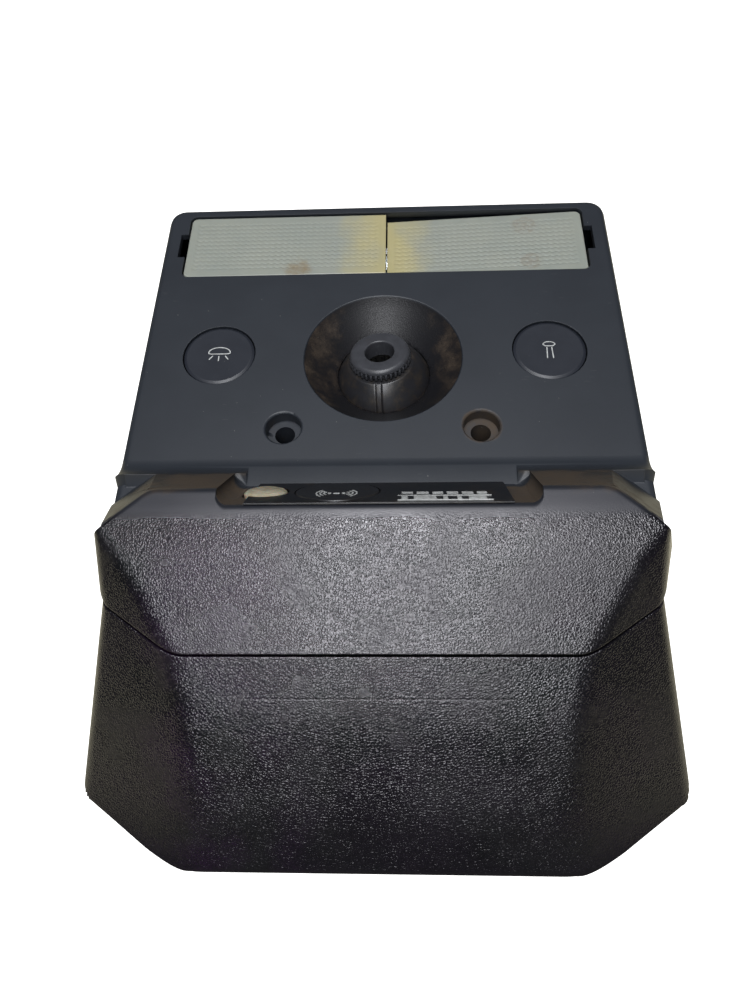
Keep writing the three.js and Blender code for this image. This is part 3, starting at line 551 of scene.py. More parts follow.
def slab(outline, low, high, edge=0.2):  # upright prism over an outline, with its top edge eased
    outline = np.array(outline, float)
    count = len(outline)
    before, after = np.roll(outline, 1, 0) - outline, np.roll(outline, -1, 0) - outline
    inward = before / np.linalg.norm(before, axis=1)[:, None] + after / np.linalg.norm(after, axis=1)[:, None]
    ahead = after / np.linalg.norm(after, axis=1)[:, None]
    left = np.stack([-ahead[:, 1], ahead[:, 0]], 1)
    lean = np.abs(np.sum(inward * left, 1))
    flat = lean < 1e-6
    step = np.where(flat[:, None], left, inward / np.where(flat, 1, lean)[:, None])
    rings = [(low, 0), (high - edge, 0), (high - edge * 0.3, edge * 0.3), (high, edge)]
    points = np.concatenate([np.column_stack([outline + step * inset, np.full(count, z)]) for z, inset in rings])
    faces = gridFaces(len(rings), count, False, True)
    faces += [list(range(count))[::-1], list(range((len(rings) - 1) * count, len(rings) * count))]
    return points, faces


def box(xSpan, ySpan, zSpan, edge=0.2):
    (x0, x1), (y0, y1) = xSpan, ySpan
    return slab([(x0, y0), (x1, y0), (x1, y1), (x0, y1)], zSpan[0], zSpan[1], edge)


def stroke(points, width, low, high, loop=False):  # a drawn line as a thin flat ribbon
    points = np.array(points, float)
    if loop:
        ahead = np.roll(points, -1, 0) - np.roll(points, 1, 0)
    else:
        ahead = np.gradient(points, axis=0)
    ahead /= np.linalg.norm(ahead, axis=1)[:, None]
    side = np.stack([-ahead[:, 1], ahead[:, 0]], 1) * width / 2
    count = len(points)
    corners = ((side, high), (-side, high), (-side, low), (side, low))
    rings = [np.column_stack([points + away, np.full(count, z)]) for away, z in corners]
    faces = gridFaces(4, count, True, loop)
    if not loop:
        faces += [[0, count, 2 * count, 3 * count], [count - 1, 4 * count - 1, 3 * count - 1, 2 * count - 1]]
    return np.concatenate(rings), faces


def arc(cx, cy, rx, ry, start, end, steps=16):
    angles = np.radians(np.linspace(start, end, steps + 1))
    return [(cx + rx * math.cos(a), cy + ry * math.sin(a)) for a in angles]


def softened(node, name, finish, edge=0.2, sharp=34, change=None, keep=None):  # the frame's shape, eased
    mesh = frame["nodes"][node].data.copy()
    shape = bmesh.new()
    shape.from_mesh(mesh)
    bmesh.ops.scale(shape, vec=(1 / mm,) * 3, verts=shape.verts)
    bmesh.ops.remove_doubles(shape, verts=shape.verts, dist=2e-3)
    if change:
        change(shape)
    bmesh.ops.dissolve_limit(shape, angle_limit=math.radians(1.2), verts=shape.verts, edges=shape.edges)
    eased = [e for e in shape.edges if e.is_manifold and e.calc_face_angle() > math.radians(30)
             and e.calc_length() > 0.3 and (keep is None or keep(e))]
    if edge:
        bmesh.ops.bevel(shape, geom=eased, offset=edge, segments=2, profile=0.6, affect="EDGES", clamp_overlap=False)
    bmesh.ops.recalc_face_normals(shape, faces=shape.faces)
    bmesh.ops.scale(shape, vec=(mm,) * 3, verts=shape.verts)
    shape.to_mesh(mesh)
    shape.free()
    return finishPiece(mesh, name, frame["nodes"][node]["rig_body"], finish, (node,), sharp)


nose = {
    "wallSlope": 49, "ridge": (0, -21, 48), "seam": (0, -61.5, 35), "rimY": -108.5, "endY": -32.35,
    "seamGap": 0.45, "shell": 2.0, "flange": 0.75, "seamLip": 0.35, "ridgeRoll": 1.0, "rimRoll": 0.5,
    "crownRoll": 0.5, "cornerRoll": 1.2, "sideRoll": 1.5, "pocketDepth": 3.85, "pocketHalf": 38.9, "scoop": 3.3,
    "slitX": 65.0, "slitHalf": 4.5, "slit": 0.62,
}


def leaning(heading, slope, point):
    heading, slope = math.radians(heading), math.radians(slope)
    normal = np.array([math.sin(slope) * math.cos(heading), math.sin(slope) * math.sin(heading), math.cos(slope)])
    return normal, float(normal @ np.array(point, float))


def pair(heading, slope, x, y, z):  # the same plane on the right and on the left
    return [leaning(heading, slope, (x, y, z)), leaning(180 - heading, slope, (-x, y, z))]


def above(plane, points):
    return points @ plane[0] - plane[1]


def roundMax(a, b, reach):  # the greater of two distances, rounded where they come within reach of each other
    near = np.clip(reach - np.abs(a - b), 0, None)
    return np.maximum(a, b) + near * near / (4 * reach)


def layered(points, layers):
    value = None
    for planes, reach in layers:
        for plane in planes:
            height = above(plane, points)
            value = height if value is None else roundMax(value, height, reach)
    return value


upperLayers = [
    ([leaning(-90, 4, nose["ridge"]), leaning(-90, 12, (0, -29, 47.4)), leaning(-90, 19, (0, -38, 45.2)),
      leaning(-90, 24, nose["seam"])], nose["crownRoll"]),
    (pair(-55.5, 43.6, 72, -47.8, 35), nose["cornerRoll"]),
    (pair(-15.9, 73.2, 72, -47.8, 35), nose["sideRoll"]),
]
lowerLayers = [
    ([leaning(-90, 31, nose["seam"]), leaning(-90, 36, (0, -80, 23.4)), leaning(-90, 42, (0, -105.8, 3))],
     nose["crownRoll"]),
    (pair(-55.5, 41, 72, -47.8, 35) + pair(-70, 41, 59.5, -104.4, 1.2), nose["cornerRoll"]),
    (pair(-17.5, 57.8, 72, -47.8, 35) + pair(1.3, 75.5, 82.2, -87.2, 0), nose["sideRoll"]),
    ([leaning(-90, 68, (0, nose["rimY"], 0))] + pair(-55.5, 90, 72.3, -98.9, 0) + pair(-30, 72, 82, -89, 0.8),
     nose["rimRoll"]),
]
wallPlane = leaning(90, nose["wallSlope"], nose["ridge"])
shoulders = pair(46, 50, 65.9, -26.2, 47.5)


def wallSide(points):  # height over the sloping wall, its shoulders and the floor of the strip's pocket
    side, deep = np.abs(points[..., 0]) - nose["pocketHalf"], nose["pocketDepth"]
    scoop = np.minimum(deep - 3.2 + np.sqrt(np.clip(nose["scoop"] ** 2 - side ** 2, 0, None)), deep)
    depth = np.where(side < 0, deep, np.where(side < nose["scoop"] - 0.07, scoop, 0))
    value = above(wallPlane, points) + depth
    for shoulder in shoulders:
        value = roundMax(value, above(shoulder, points), 1.3)
    return value


def perColumn(values, points):
    return values.reshape((-1,) + (1,) * (points.ndim - 2))


def meetIn(start, along, first, second):  # where two surfaces cross in each column's upright plane
    point, up, small = start.copy(), np.array([0, 0, 1.0]), 0.01
    for _ in range(14):
        a, b = first(point), second(point)
        aAlong, aUp = (first(point + small * along) - a) / small, (first(point + small * up) - a) / small
        bAlong, bUp = (second(point + small * along) - b) / small, (second(point + small * up) - b) / small
        spread = aAlong * bUp - aUp * bAlong
        spread = np.where(np.abs(spread) < 1e-4, 1e-4, spread)
        point = point + np.clip((b * aUp - a * bUp) / spread, -2, 2)[:, None] * along
        point = point + np.clip((a * bAlong - b * aAlong) / spread, -2, 2)[:, None] * up
    return point


def castOut(poles, along, angles, surface, furthest=100.0):  # from each column's pole to the surface
    rays = np.cos(angles)[..., None] * along[:, None, :] + np.sin(angles)[..., None] * np.array([0, 0, 1.0])
    near, far = np.zeros(angles.shape), np.full(angles.shape, furthest)
    for _ in range(30):
        middle = (near + far) / 2
        outside = surface(poles[:, None, :] + middle[..., None] * rays) > 0
        far, near = np.where(outside, middle, far), np.where(outside, near, middle)
    return poles[:, None, :] + near[..., None] * rays


def respaced(curve, startGroup, endGroup, count):  # rows close together at both ends and even between
    rows = []
    for line in curve:
        travelled = np.concatenate([[0], np.cumsum(np.linalg.norm(np.diff(line, axis=0), axis=1))])
        total = travelled[-1]
        first, last = np.array(startGroup), total - np.array(endGroup)[::-1]
        middle = np.linspace(first[-1], last[0], count + 2)[1:-1]
        stations = np.concatenate([first, middle, last])
        rows.append(np.stack([np.interp(stations, travelled, line[:, k]) for k in range(3)], 1))
    return np.stack(rows)


def skinBetween(columns, knots, topLine, bottomLine, skin, isCover):  # closed shell of upright sections
    top = np.stack([np.interp(columns, knots, [p[k] for p in topLine]) for k in (0, 1)], 1)
    bottom = np.stack([np.interp(columns, knots, [p[k] for p in bottomLine]) for k in (0, 1)], 1)
    along = np.column_stack([bottom - top, np.zeros(len(columns))])
    length = np.linalg.norm(along, axis=1)
    along /= length[:, None]
    up = np.array([0, 0, 1.0])
    atSeam = bottom if isCover else top
    seam = np.column_stack([atSeam, np.full(len(columns), nose["seam"][2])])
    seam = meetIn(seam, along, skin, lambda p: p[..., 2] - nose["seam"][2])
    small = 0.01
    slope = np.stack([(skin(seam + small * axis) - skin(seam)) / small for axis in np.eye(3)], 1)
    slope /= np.linalg.norm(slope, axis=1)[:, None]
    cosine, sine = slope[:, 2], np.sqrt(1 - slope[:, 2] ** 2)
    seamZ = nose["seam"][2] + (0.5 if isCover else -0.5) * nose["seamGap"] * sine
    facing = 1 if isCover else -1

    def seamFace(p):
        return facing * (perColumn(seamZ, p) - p[..., 2] + perColumn(cosine, p) * skin(p)) / perColumn(sine, p)

    seamFoot = meetIn(seam - slope * nose["shell"], along, lambda p: skin(p) + nose["shell"], seamFace)
    if isCover:
        topPoint = np.column_stack([top, np.zeros(len(columns))])
        backLimit = np.sum(topPoint * along, 1) - 3.0
        slit = np.clip(1 - np.abs(top[:, 0] - nose["slitX"]) / nose["slitHalf"], 0, 1)
        flange = nose["flange"] - nose["slit"] * slit * slit * (3 - 2 * slit)

        def backFace(p):
            run = along[:, :2] if p.ndim == 2 else along[:, None, :2]
            return np.maximum(wallSide(p), perColumn(backLimit, p) - np.sum(p[..., :2] * run, -1))

        def outer(p):
            return roundMax(roundMax(skin(p), backFace(p), nose["ridgeRoll"]), seamFace(p), nose["seamLip"])

        def inner(p):
            share = np.clip((-backFace(p) - 2.6) / 0.8, 0, 1)
            thin = perColumn(flange, p)
            return skin(p) + thin + (nose["shell"] - thin) * share * share * (3 - 2 * share)

        start = topPoint + up * 46.5
        farFoot = meetIn(start, along, lambda p: skin(p) + perColumn(flange, p), backFace)
        poleShift = np.where(length > 12, 0.35 * length, -0.5 + 4.7 * np.clip(length - 3, 0, 9) / 9)
        poles = topPoint + along * poleShift[:, None] + up * 36.4
        lastGroup = [0, 0.35, 0.7, 1.0, 1.35, 1.7, 2.1, 2.6, 3.3]
    else:
        def outer(p):
            return roundMax(roundMax(skin(p), seamFace(p), nose["seamLip"]), -p[..., 2], nose["rimRoll"])

        def inner(p):
            return skin(p) + nose["shell"]

        start = np.column_stack([bottom - along[:, :2] * 3, np.full(len(columns), 0.0)])
        farFoot = meetIn(start, along, inner, lambda p: -p[..., 2])
        poles = np.column_stack([top - along[:, :2] * 9, np.full(len(columns), 9.0)])
        lastGroup = [0, 0.8, 1.4, 1.8, 2.1, 2.4, 2.8, 3.4, 4.2]

    def bearing(target):
        away = target - poles
        return np.arctan2(away[:, 2], np.sum(away * along, 1))

    startAngle, endAngle = bearing(seamFoot), bearing(farFoot)
    if isCover:
        endAngle = np.where(endAngle < startAngle, endAngle + 2 * math.pi, endAngle)
    sweep = np.linspace(0, 1, 900)
    angles = startAngle[:, None] + (endAngle - startAngle)[:, None] * sweep
    outside = respaced(castOut(poles, along, angles, outer),
                       [0, 0.9, 1.5, 1.7, 1.85, 2.0, 2.15, 2.35, 2.7, 3.2], lastGroup, 46)
    inside = respaced(castOut(poles, along, angles[:, ::-1], inner), [0, 1.2, 2.6, 3.4, 4.2], [0, 1.5], 16)[:, 1:-1]
    profile = np.concatenate([outside, inside], 1)
    columnsCount, rows = profile.shape[:2]
    faces = gridFaces(columnsCount, rows, False, True)
    faces += [list(range(rows))[::-1], list(range((columnsCount - 1) * rows, columnsCount * rows))]
    return profile.reshape(-1, 3), faces


def noseColumns(extra=()):
    ends = np.concatenate([np.linspace(0, 1, 26), np.linspace(1, 2, 34)])
    middle = np.linspace(2, 3, 112)
    return np.unique(np.round(np.concatenate([ends, middle, 5 - ends, np.array(extra, float)]), 5))


def buildNose():
    knots = [0, 1, 1.4, 2, 3, 3.6, 4, 5]
    endY = nose["endY"]
    ridgeLine, seamLine, rimLine = [line + [(-x, y) for x, y in reversed(line)] for line in (
        [(-72.4, endY), (-64.2, -24.4), (-60.5, -21), (-52, -21)],
        [(-76.4, endY), (-72, -47.8), (-64, -53.3), (-52.1, -61.5)],
        [(-81, endY), (-82, -88.6), (-73, -98), (-57.5, -107.5)])]
    scoopSteps = (-0.3, 0, 0.3, 0.8, 1.3, 1.8, 2.2, 2.6, 2.85, 3.0, 3.1, 3.17, 3.24, 3.3, 3.5)
    extra = [2.5 + side * (nose["pocketHalf"] + d) / 104 for d in scoopSteps for side in (1, -1)]
    cover = skinBetween(noseColumns(extra), knots, ridgeLine, seamLine, lambda p: layered(p, upperLayers), True)
    meshPiece("noseCover", *cover, "housing", "grained_plastic", "grained", ("nose_cover",), sharp=38)
    apron = skinBetween(noseColumns(), knots, seamLine, rimLine, lambda p: layered(p, lowerLayers), False)
    meshPiece("noseApron", *apron, "housing", "grained_plastic", "grained", ("nose_apron",), sharp=38)


buildNose()
print("nose done")


panelTop = 28.0


def closeUnderCover(shape):  # moves the sloping wall's top to the cover's edge
    drop = nose["flange"] + 0.15
    crown = upperLayers[0][0]
    moves = []
    for vert in shape.verts:
        place = np.array(vert.co)
        caps = []
        for normal, reach in crown:
            depth = reach - normal @ place
            if abs(depth) < 0.02 or abs(depth - 2.55) < 0.02:
                caps.append((normal, depth - drop))
        if not caps or place[2] < 40:
            continue
        rows, targets = [n for n, _ in caps], [d for _, d in caps]
        for face in vert.link_faces:
            side = np.array(face.normal)
            if all(abs(side @ n) < 0.999 for n, _ in caps) and all(abs(side @ n) < 0.999 for n in rows):
                rows.append(side)
                targets.append(0.0)
        shift = np.linalg.lstsq(np.array(rows), np.array(targets), rcond=None)[0]
        if np.linalg.norm(shift) < 6:
            moves.append((vert, Vector(place + shift)))
    for vert, place in moves:
        vert.co = place


def onFace(edge):  # the panel's face, less the corners of the pocket's ledge
    return all(v.co.z > 26.8 and not (36 < abs(v.co.x) < 46 and v.co.y < 3 and v.co.z < 34) for v in edge.verts)


softened("front_panel", "frontPanel", "panel", edge=0.24, change=closeUnderCover, keep=onFace)


def buildFilletEnds():  # carries the fillet under the sloping wall out over the panel's rounded edge
    radius, slope = 9, math.radians(nose["wallSlope"])
    foot = nose["ridge"][1] + (nose["ridge"][2] - panelTop) / math.tan(slope)
    reach = radius * math.tan(slope / 2)
    outline = [(foot - 5, panelTop - 1), (foot + reach, panelTop - 1)]
    for angle in np.linspace(0, slope, 13):
        outline.append((foot + reach - radius * math.sin(angle), panelTop + radius * (1 - math.cos(angle))))
    rings = []
    for x in np.linspace(74.3, 77.85, 12):
        drop = 2.6 - math.sqrt(2.6 ** 2 - max(0.0, x - 75.4) ** 2)
        rings.append([(x, y, z - drop) for y, z in outline])
    count = len(outline)
    points = np.array(rings).reshape(-1, 3)
    faces = gridFaces(len(rings), count, False, True)
    faces += [list(range(count)), list(range((len(rings) - 1) * count, len(rings) * count))[::-1]]
    for side, sideName in ((1, "right"), (-1, "left")):
        meshPiece("filletEnd_" + sideName, points * (side, 1, 1), faces, "housing", "panel_plastic", "panel", sharp=50)


buildFilletEnds()
print("front panel done")


lens = {
    "front": 74.85, "far": 103.65, "radius": 2.25, "thick": 2.2, "edge": 0.55, "border": 2.6,
    "rowPitch": 1.92, "cellPitch": 2.2, "relief": 0.16, "wave": 0.24,
    "rightStart": 1.05, "rightEnd": 69.55, "sunk": 2.6,
}


def diffuserShape(length):  # from the split at x = 0 to the rounded outer end, top at z = 0
    front, far, radius = lens["front"], lens["far"], lens["radius"]
    columns = np.unique(np.round(np.concatenate([np.linspace(0, 1, 250), 1 - np.linspace(0, 0.05, 26) ** 1.3]), 6))
    margin = lens["edge"] * (1 - np.cos(np.linspace(0, math.pi / 2, 6)))
    rows = np.concatenate([front + margin, np.linspace(front + 0.8, far - 0.8, 112), (far - margin)[::-1]])
    u, y = np.meshgrid(columns, rows)
    inCorner = np.clip(np.maximum(front + radius - y, y - (far - radius)), 0, radius)
    end = length - radius + np.sqrt(np.clip(radius ** 2 - inCorner ** 2, 0, None))
    x = u * end
    border = np.minimum(np.minimum(y - front, far - y), length - x)
    cornerX, cornerY = np.clip(x - (length - radius), 0, None), inCorner
    rounding = radius - np.hypot(cornerX, cornerY)
    border = np.where((cornerX > 0) & (cornerY > 0), rounding, border)
    border = np.clip(np.minimum(border, x + 0.35), 0, None)
    short = np.clip(lens["edge"] - border, 0, None)
    z = -(lens["edge"] - np.sqrt(lens["edge"] ** 2 - np.minimum(short, lens["edge"]) ** 2))
    inside = np.clip((border - lens["border"]) / 0.8, 0, 1)
    phase = (y - front + lens["wave"] * np.cos(2 * math.pi * x / lens["cellPitch"])) / lens["rowPitch"]
    valley = np.abs(np.cos(math.pi * phase)) ** 6
    pillow = 0.5 - 0.5 * np.cos(2 * math.pi * x / lens["cellPitch"])
    z = z - inside * lens["relief"] * (valley + 0.3 * pillow * (1 - valley))
    rowCount, columnCount = x.shape
    topFace = np.stack([x, y, z], -1).reshape(-1, 3)
    faces = gridFaces(rowCount, columnCount)
    edgeIndex = list(range(columnCount))
    edgeIndex += [i * columnCount + columnCount - 1 for i in range(1, rowCount)]
    edgeIndex += [(rowCount - 1) * columnCount + j for j in range(columnCount - 2, -1, -1)]
    edgeIndex += [i * columnCount for i in range(rowCount - 2, 0, -1)]
    foot = topFace[edgeIndex] * (1, 1, 0) - (0, 0, lens["thick"])
    first = len(topFace)
    for k in range(len(edgeIndex)):
        following = (k + 1) % len(edgeIndex)
        faces.append([edgeIndex[k], first + k, first + following, edgeIndex[following]])
    faces.append([first + k for k in range(len(edgeIndex))])
    skirts = [box((2, length - 2), span, (-lens["thick"] - 1.6, -lens["thick"] + 0.2), 0.15)
              for span in ((front + 1.25, front + 2.45), (far - 2.45, far - 1.25))]
    return joined((np.concatenate([topFace, foot]), faces), *skirts)


def buildCourtesyLamp():
    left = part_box("lens_left")
    leftStart, leftEnd = left[1].x / mm, left[0].x / mm
    points, faces = diffuserShape(leftStart - leftEnd)
    mirrorX = Matrix.Diagonal((-1, 1, 1, 1))
    meshPiece("lensLeft", points, [face[::-1] for face in faces], "lens_left", "lens_plastic", "lens", ("lens_left",),
              place=move(leftStart, 0, left[1].z / mm) @ mirrorX, sharp=50)
    length = lens["rightEnd"] - lens["rightStart"]
    points, faces = diffuserShape(length)
    place = move(lens["rightEnd"], 0, panelTop - 1) @ turn("Y", -lens["sunk"]) @ move(-length - 0.1, 0, 0)
    meshPiece("lensRight", points, faces, "lens_right", "lens_plastic", "lens", ("lens_right",), place=place, sharp=50)
    softened("lamp_box", "lampBox", "black", edge=0.25)
    softened("bulb_reflector", "bulbReflector", "tin", edge=0.0, sharp=40)

    bulb = {"y": 89.2, "z": 15.2, "radius": 5.2, "glass": 12.4}
    lie = move(0, bulb["y"], bulb["z"]) @ turn("Y", 90)
    half = bulb["glass"]
    tube = rounded([(4.7, -half), (5.2, -half, 0.2), (5.2, half, 0.2), (4.7, half)])
    tube += rounded([(4.6, half - 0.01), (4.6, -half + 0.01)])
    meshPiece("domeBulbGlass", *turned(tube, 64, True), "housing", "glass", "glass", ("dome_bulb_glass",), place=lie)
    cap = rounded([(0, 12.7), (5.4, 12.7, 0.2), (5.4, 16.2, 0.8), (4.2, 17.4, 0.8), (2.2, 19.4, 1.0),
                   (1.3, 22.4, 0.9), (0, 22.5)], 6)
    for side, sideName in ((1, "right"), (-1, "left")):
        meshPiece("domeBulbCap_" + sideName, *turned(cap, 64), "housing", "bright_metal", "tin",
                  ("dome_bulb_cap_" + sideName,), place=move(0, bulb["y"], bulb["z"]) @ turn("Y", 90 * side))
    meshPiece("domeBulbFilament", *wound(0.9, 18, 26, 0.1, 14, 8), "housing", "steel", "steel", ("dome_bulb_filament",),
              place=lie @ move(0, 0, -9))


def wound(radius, length, turns, wire, perTurn=24, around=8):  # helix of round wire with closed ends
    steps = int(turns * perTurn)
    angles = np.linspace(0, 2 * math.pi * turns, steps + 1)
    ring = np.linspace(0, 2 * math.pi, around, endpoint=False)
    out = np.stack([np.cos(angles), np.sin(angles), np.zeros_like(angles)], 1)
    line = out * radius + np.outer(np.linspace(0, length, steps + 1), (0, 0, 1))
    swing = np.cos(ring)[None, :, None] * out[:, None, :] + np.sin(ring)[None, :, None] * np.array([0, 0, 1.0])
    tube = line[:, None, :] + wire * swing
    faces = gridFaces(steps + 1, around, False, True)
    faces += [list(range(around))[::-1], list(range(steps * around, (steps + 1) * around))]
    return tube.reshape(-1, 3), faces


buildCourtesyLamp()
print("courtesy lamp done")


button = {
    "x": 52.7, "y": 40.1, "radius": 11.4, "face": 27.85, "dish": 0.12, "line": 0.34, "printHigh": 0.05,
    "springFoot": 14.3, "springKeep": 0.7,
}


def buildPushButton(side, node, name, drawing):
    face, radius = button["face"], button["radius"]
    profile = rounded([(0, face - button["dish"]), (radius - 3, face - button["dish"] * 0.4), (radius - 0.9, face, 0.5),
                       (radius, face - 0.45, 0.3), (radius, 21.6, 0.2), (10.9, 21.0, 0.2), (9.6, 21.0, 0.2),
                       (9.6, 25.4, 0.3), (2.2, 25.4, 0.3), (2.2, 17.4, 0.3), (0, 17.4)], 5)
    place = move(side * button["x"], button["y"], 0)
    meshPiece(name, *turned(profile, 128), node, "panel_plastic", "button", (node,), place=place, sharp=40)
    low, high = face - 0.2, face + button["printHigh"] - 0.06
    lines = [stroke(points, button["line"], low, high, loop) for points, loop in drawing]
    meshPiece(name + "Symbol", *joined(*lines), node, "cream_plastic", "print", place=place, sharp=50)


domeSymbol = [
    (arc(0, 0.9, 3.5, 2.1, 0, 180) + [(-3.5, 0.6), (-2.6, 0.35), (2.6, 0.35), (3.5, 0.6)], True),
    ([(0, -0.5), (0, -2.5)], False), ([(-2.0, -0.4), (-3.1, -1.9)], False), ([(2.0, -0.4), (3.1, -1.9)], False),
]
spotSymbol = [
    (arc(0, 2.1, 1.9, 1.1, 0, 180, 10) + [(-1.2, 1.5), (1.2, 1.5)], True),
    ([(-0.75, 1.0), (-0.95, -3.4)], False), ([(0.75, 1.0), (0.95, -3.4)], False),
]
buildPushButton(-1, "dome_button", "domeButton", domeSymbol)
buildPushButton(1, "spot_button", "spotButton", spotSymbol)
for side, kind in ((-1, "dome"), (1, "spot")):
    coil = meshPiece(kind + "ButtonSpring", *wound(4.4, 10.2, 5, 0.35, 36, 10), "housing", "steel", "steel",
                     (kind + "_button_spring",), place=move(side * button["x"], button["y"], 14.65), sharp=60)
    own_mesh(coil)
for node, name in (("dome_switch", "domeSwitch"), ("spot_switch", "spotSwitch")):
    softened(node, name, "black", edge=0.2)
print("push buttons done")


panPlace = move(0, spot["y"], spot["z"]) @ turn("Z", spot["pan"])
leanPlace = panPlace @ turn("X", spot["lean"])


def buildSpotBall():  # hollow ball with a raised key between two fine grooves down its near side
    radius, inner = spot["ball"], spot["ball"] - spot["wall"]
    top, bottom = 12.4, -7.4
    keyAngle = -90 - spot["pan"] - 2.5
    groove, half = spot["keyGroove"], spot["keyWidth"] / 2
    offsets = np.array([0, 0.5, 0.8, 1.0, 1.0 + groove * 0.25, 1.0 + groove * 0.5, 1.0 + groove * 0.75, 1.0 + groove,
                        1.0 + groove * 1.5, 2.0, 2.6]) * half
    offsets = np.concatenate([-offsets[:0:-1], offsets])
    wide = np.linspace(12, 348, 84)
    heights = radius * np.sin(np.linspace(math.asin(top / radius), math.asin(bottom / radius), 40))
    rings = []
    for height in heights:
        level = math.sqrt(radius ** 2 - height ** 2)
        near = np.degrees(np.arcsin(offsets / level))
        angles = np.radians(keyAngle + np.concatenate([near, wide]))
        cutIn = np.zeros(len(angles))
        across = np.abs(offsets) - half
        valley = spot["keyDepth"] * np.sin(math.pi * np.clip(across / groove, 0, 1)) ** 0.6
        cutIn[:len(near)] = np.where((across > 0) & (across < groove), valley, 0)
        reach = level - cutIn
        rings.append(np.column_stack([reach * np.cos(angles), reach * np.sin(angles), np.full(len(angles), height)]))
    count = len(rings[0])
    for share in np.linspace(0, 1, 18):
        height = bottom + (top - bottom) * share
        level = math.sqrt(inner ** 2 - height ** 2)
        angles = np.arctan2(rings[0][:, 1], rings[0][:, 0])
        rings.append(np.column_stack([level * np.cos(angles), level * np.sin(angles), np.full(count, height)]))
    meshPiece("spotBall", np.concatenate(rings), gridFaces(len(rings), count, True, True), "spot_lamp", "black_plastic",
              "ball", ("spot_ball",), place=leanPlace, sharp=45)


knob = {
    "teeth": 38, "tip": 10.0, "root": 8.7, "crown": 9.7, "hole": 4.7, "foot": 12.6, "band": 14.9, "top": 16.4,
    "roll": 1.45,
}


def buildSpotKnob():  # rounded crown over a band of short teeth
    tip, root, hole = knob["tip"], knob["root"], knob["hole"]
    band, foot = knob["band"], knob["foot"]
    top, wide = knob["top"], knob["crown"]
    crown = rounded([(hole, 13.0), (hole, top, 0.5), (wide, top, knob["roll"]), (wide, band)], 7)
    teeth = [(band - 0.2, 0.9), (band - 0.5, 1.0), (band - 1.2, 1.0),  # height, and share of full size
             (foot + 0.5, 1.0), (foot + 0.2, 0.85), (foot, 0.2)]
    under = rounded([(7.9, foot), (7.85, 10.7), (hole, 10.7), (hole, 13.0 - 0.2)], 2)
    rows = crown + [(root, height) for height, _ in teeth] + under
    perTooth = 10
    count = knob["teeth"] * perTooth
    angles = np.linspace(0, 2 * math.pi, count, endpoint=False)
    shape = np.clip(np.cos(angles * knob["teeth"]) * 1.6 + 0.45, 0, 1)
    swell = {len(crown) + i: size for i, (_, size) in enumerate(teeth)}
    rings = []
    for i, (radius, height) in enumerate(rows):
        reach = radius + swell.get(i, 0.0) * (tip - root) * shape
        rings.append(np.column_stack([reach * np.cos(angles), reach * np.sin(angles), np.full(count, height)]))
    meshPiece("spotKnob", np.concatenate(rings), gridFaces(len(rings), count, True, True), "spot_lamp", "panel_plastic",
              "knob", ("spot_knob",), place=leanPlace, sharp=50)


def buildSpotBulb():
    stem = [(4.8, -1.4), (4.2, -2.6), (3.6, -3.1), (3.6, -3.6), (0, -3.6)]
    glassLine = [(0, 7.6)] + arc(0, 2.8, 4.8, 4.8, 80, 0, 10) + stem
    meshPiece("spotBulb", *turned(glassLine, 48), "spot_lamp", "glass", "glass", ("spot_bulb",), place=leanPlace)
    softened("spot_bulb_holder", "spotBulbHolder", "white", edge=0.2)
    softened("spot_seat_ring", "spotSeatRing", "black", edge=0.15)
    softened("spot_retainer", "spotRetainer", "black", edge=0.2)


buildSpotBall()
buildSpotKnob()
buildSpotBulb()
print("spot lamp done")


strip = {"sensorX": -11.4, "sensorRadius": 11.4, "statusX": -31.0, "top": 0.85, "symbolDrop": -3.2}
floorReach = wallPlane[1] - nose["pocketDepth"]
pocketPlace = move(0, (floorReach - 38 * wallPlane[0][2]) / wallPlane[0][1], 38) @ turn("X", -nose["wallSlope"])


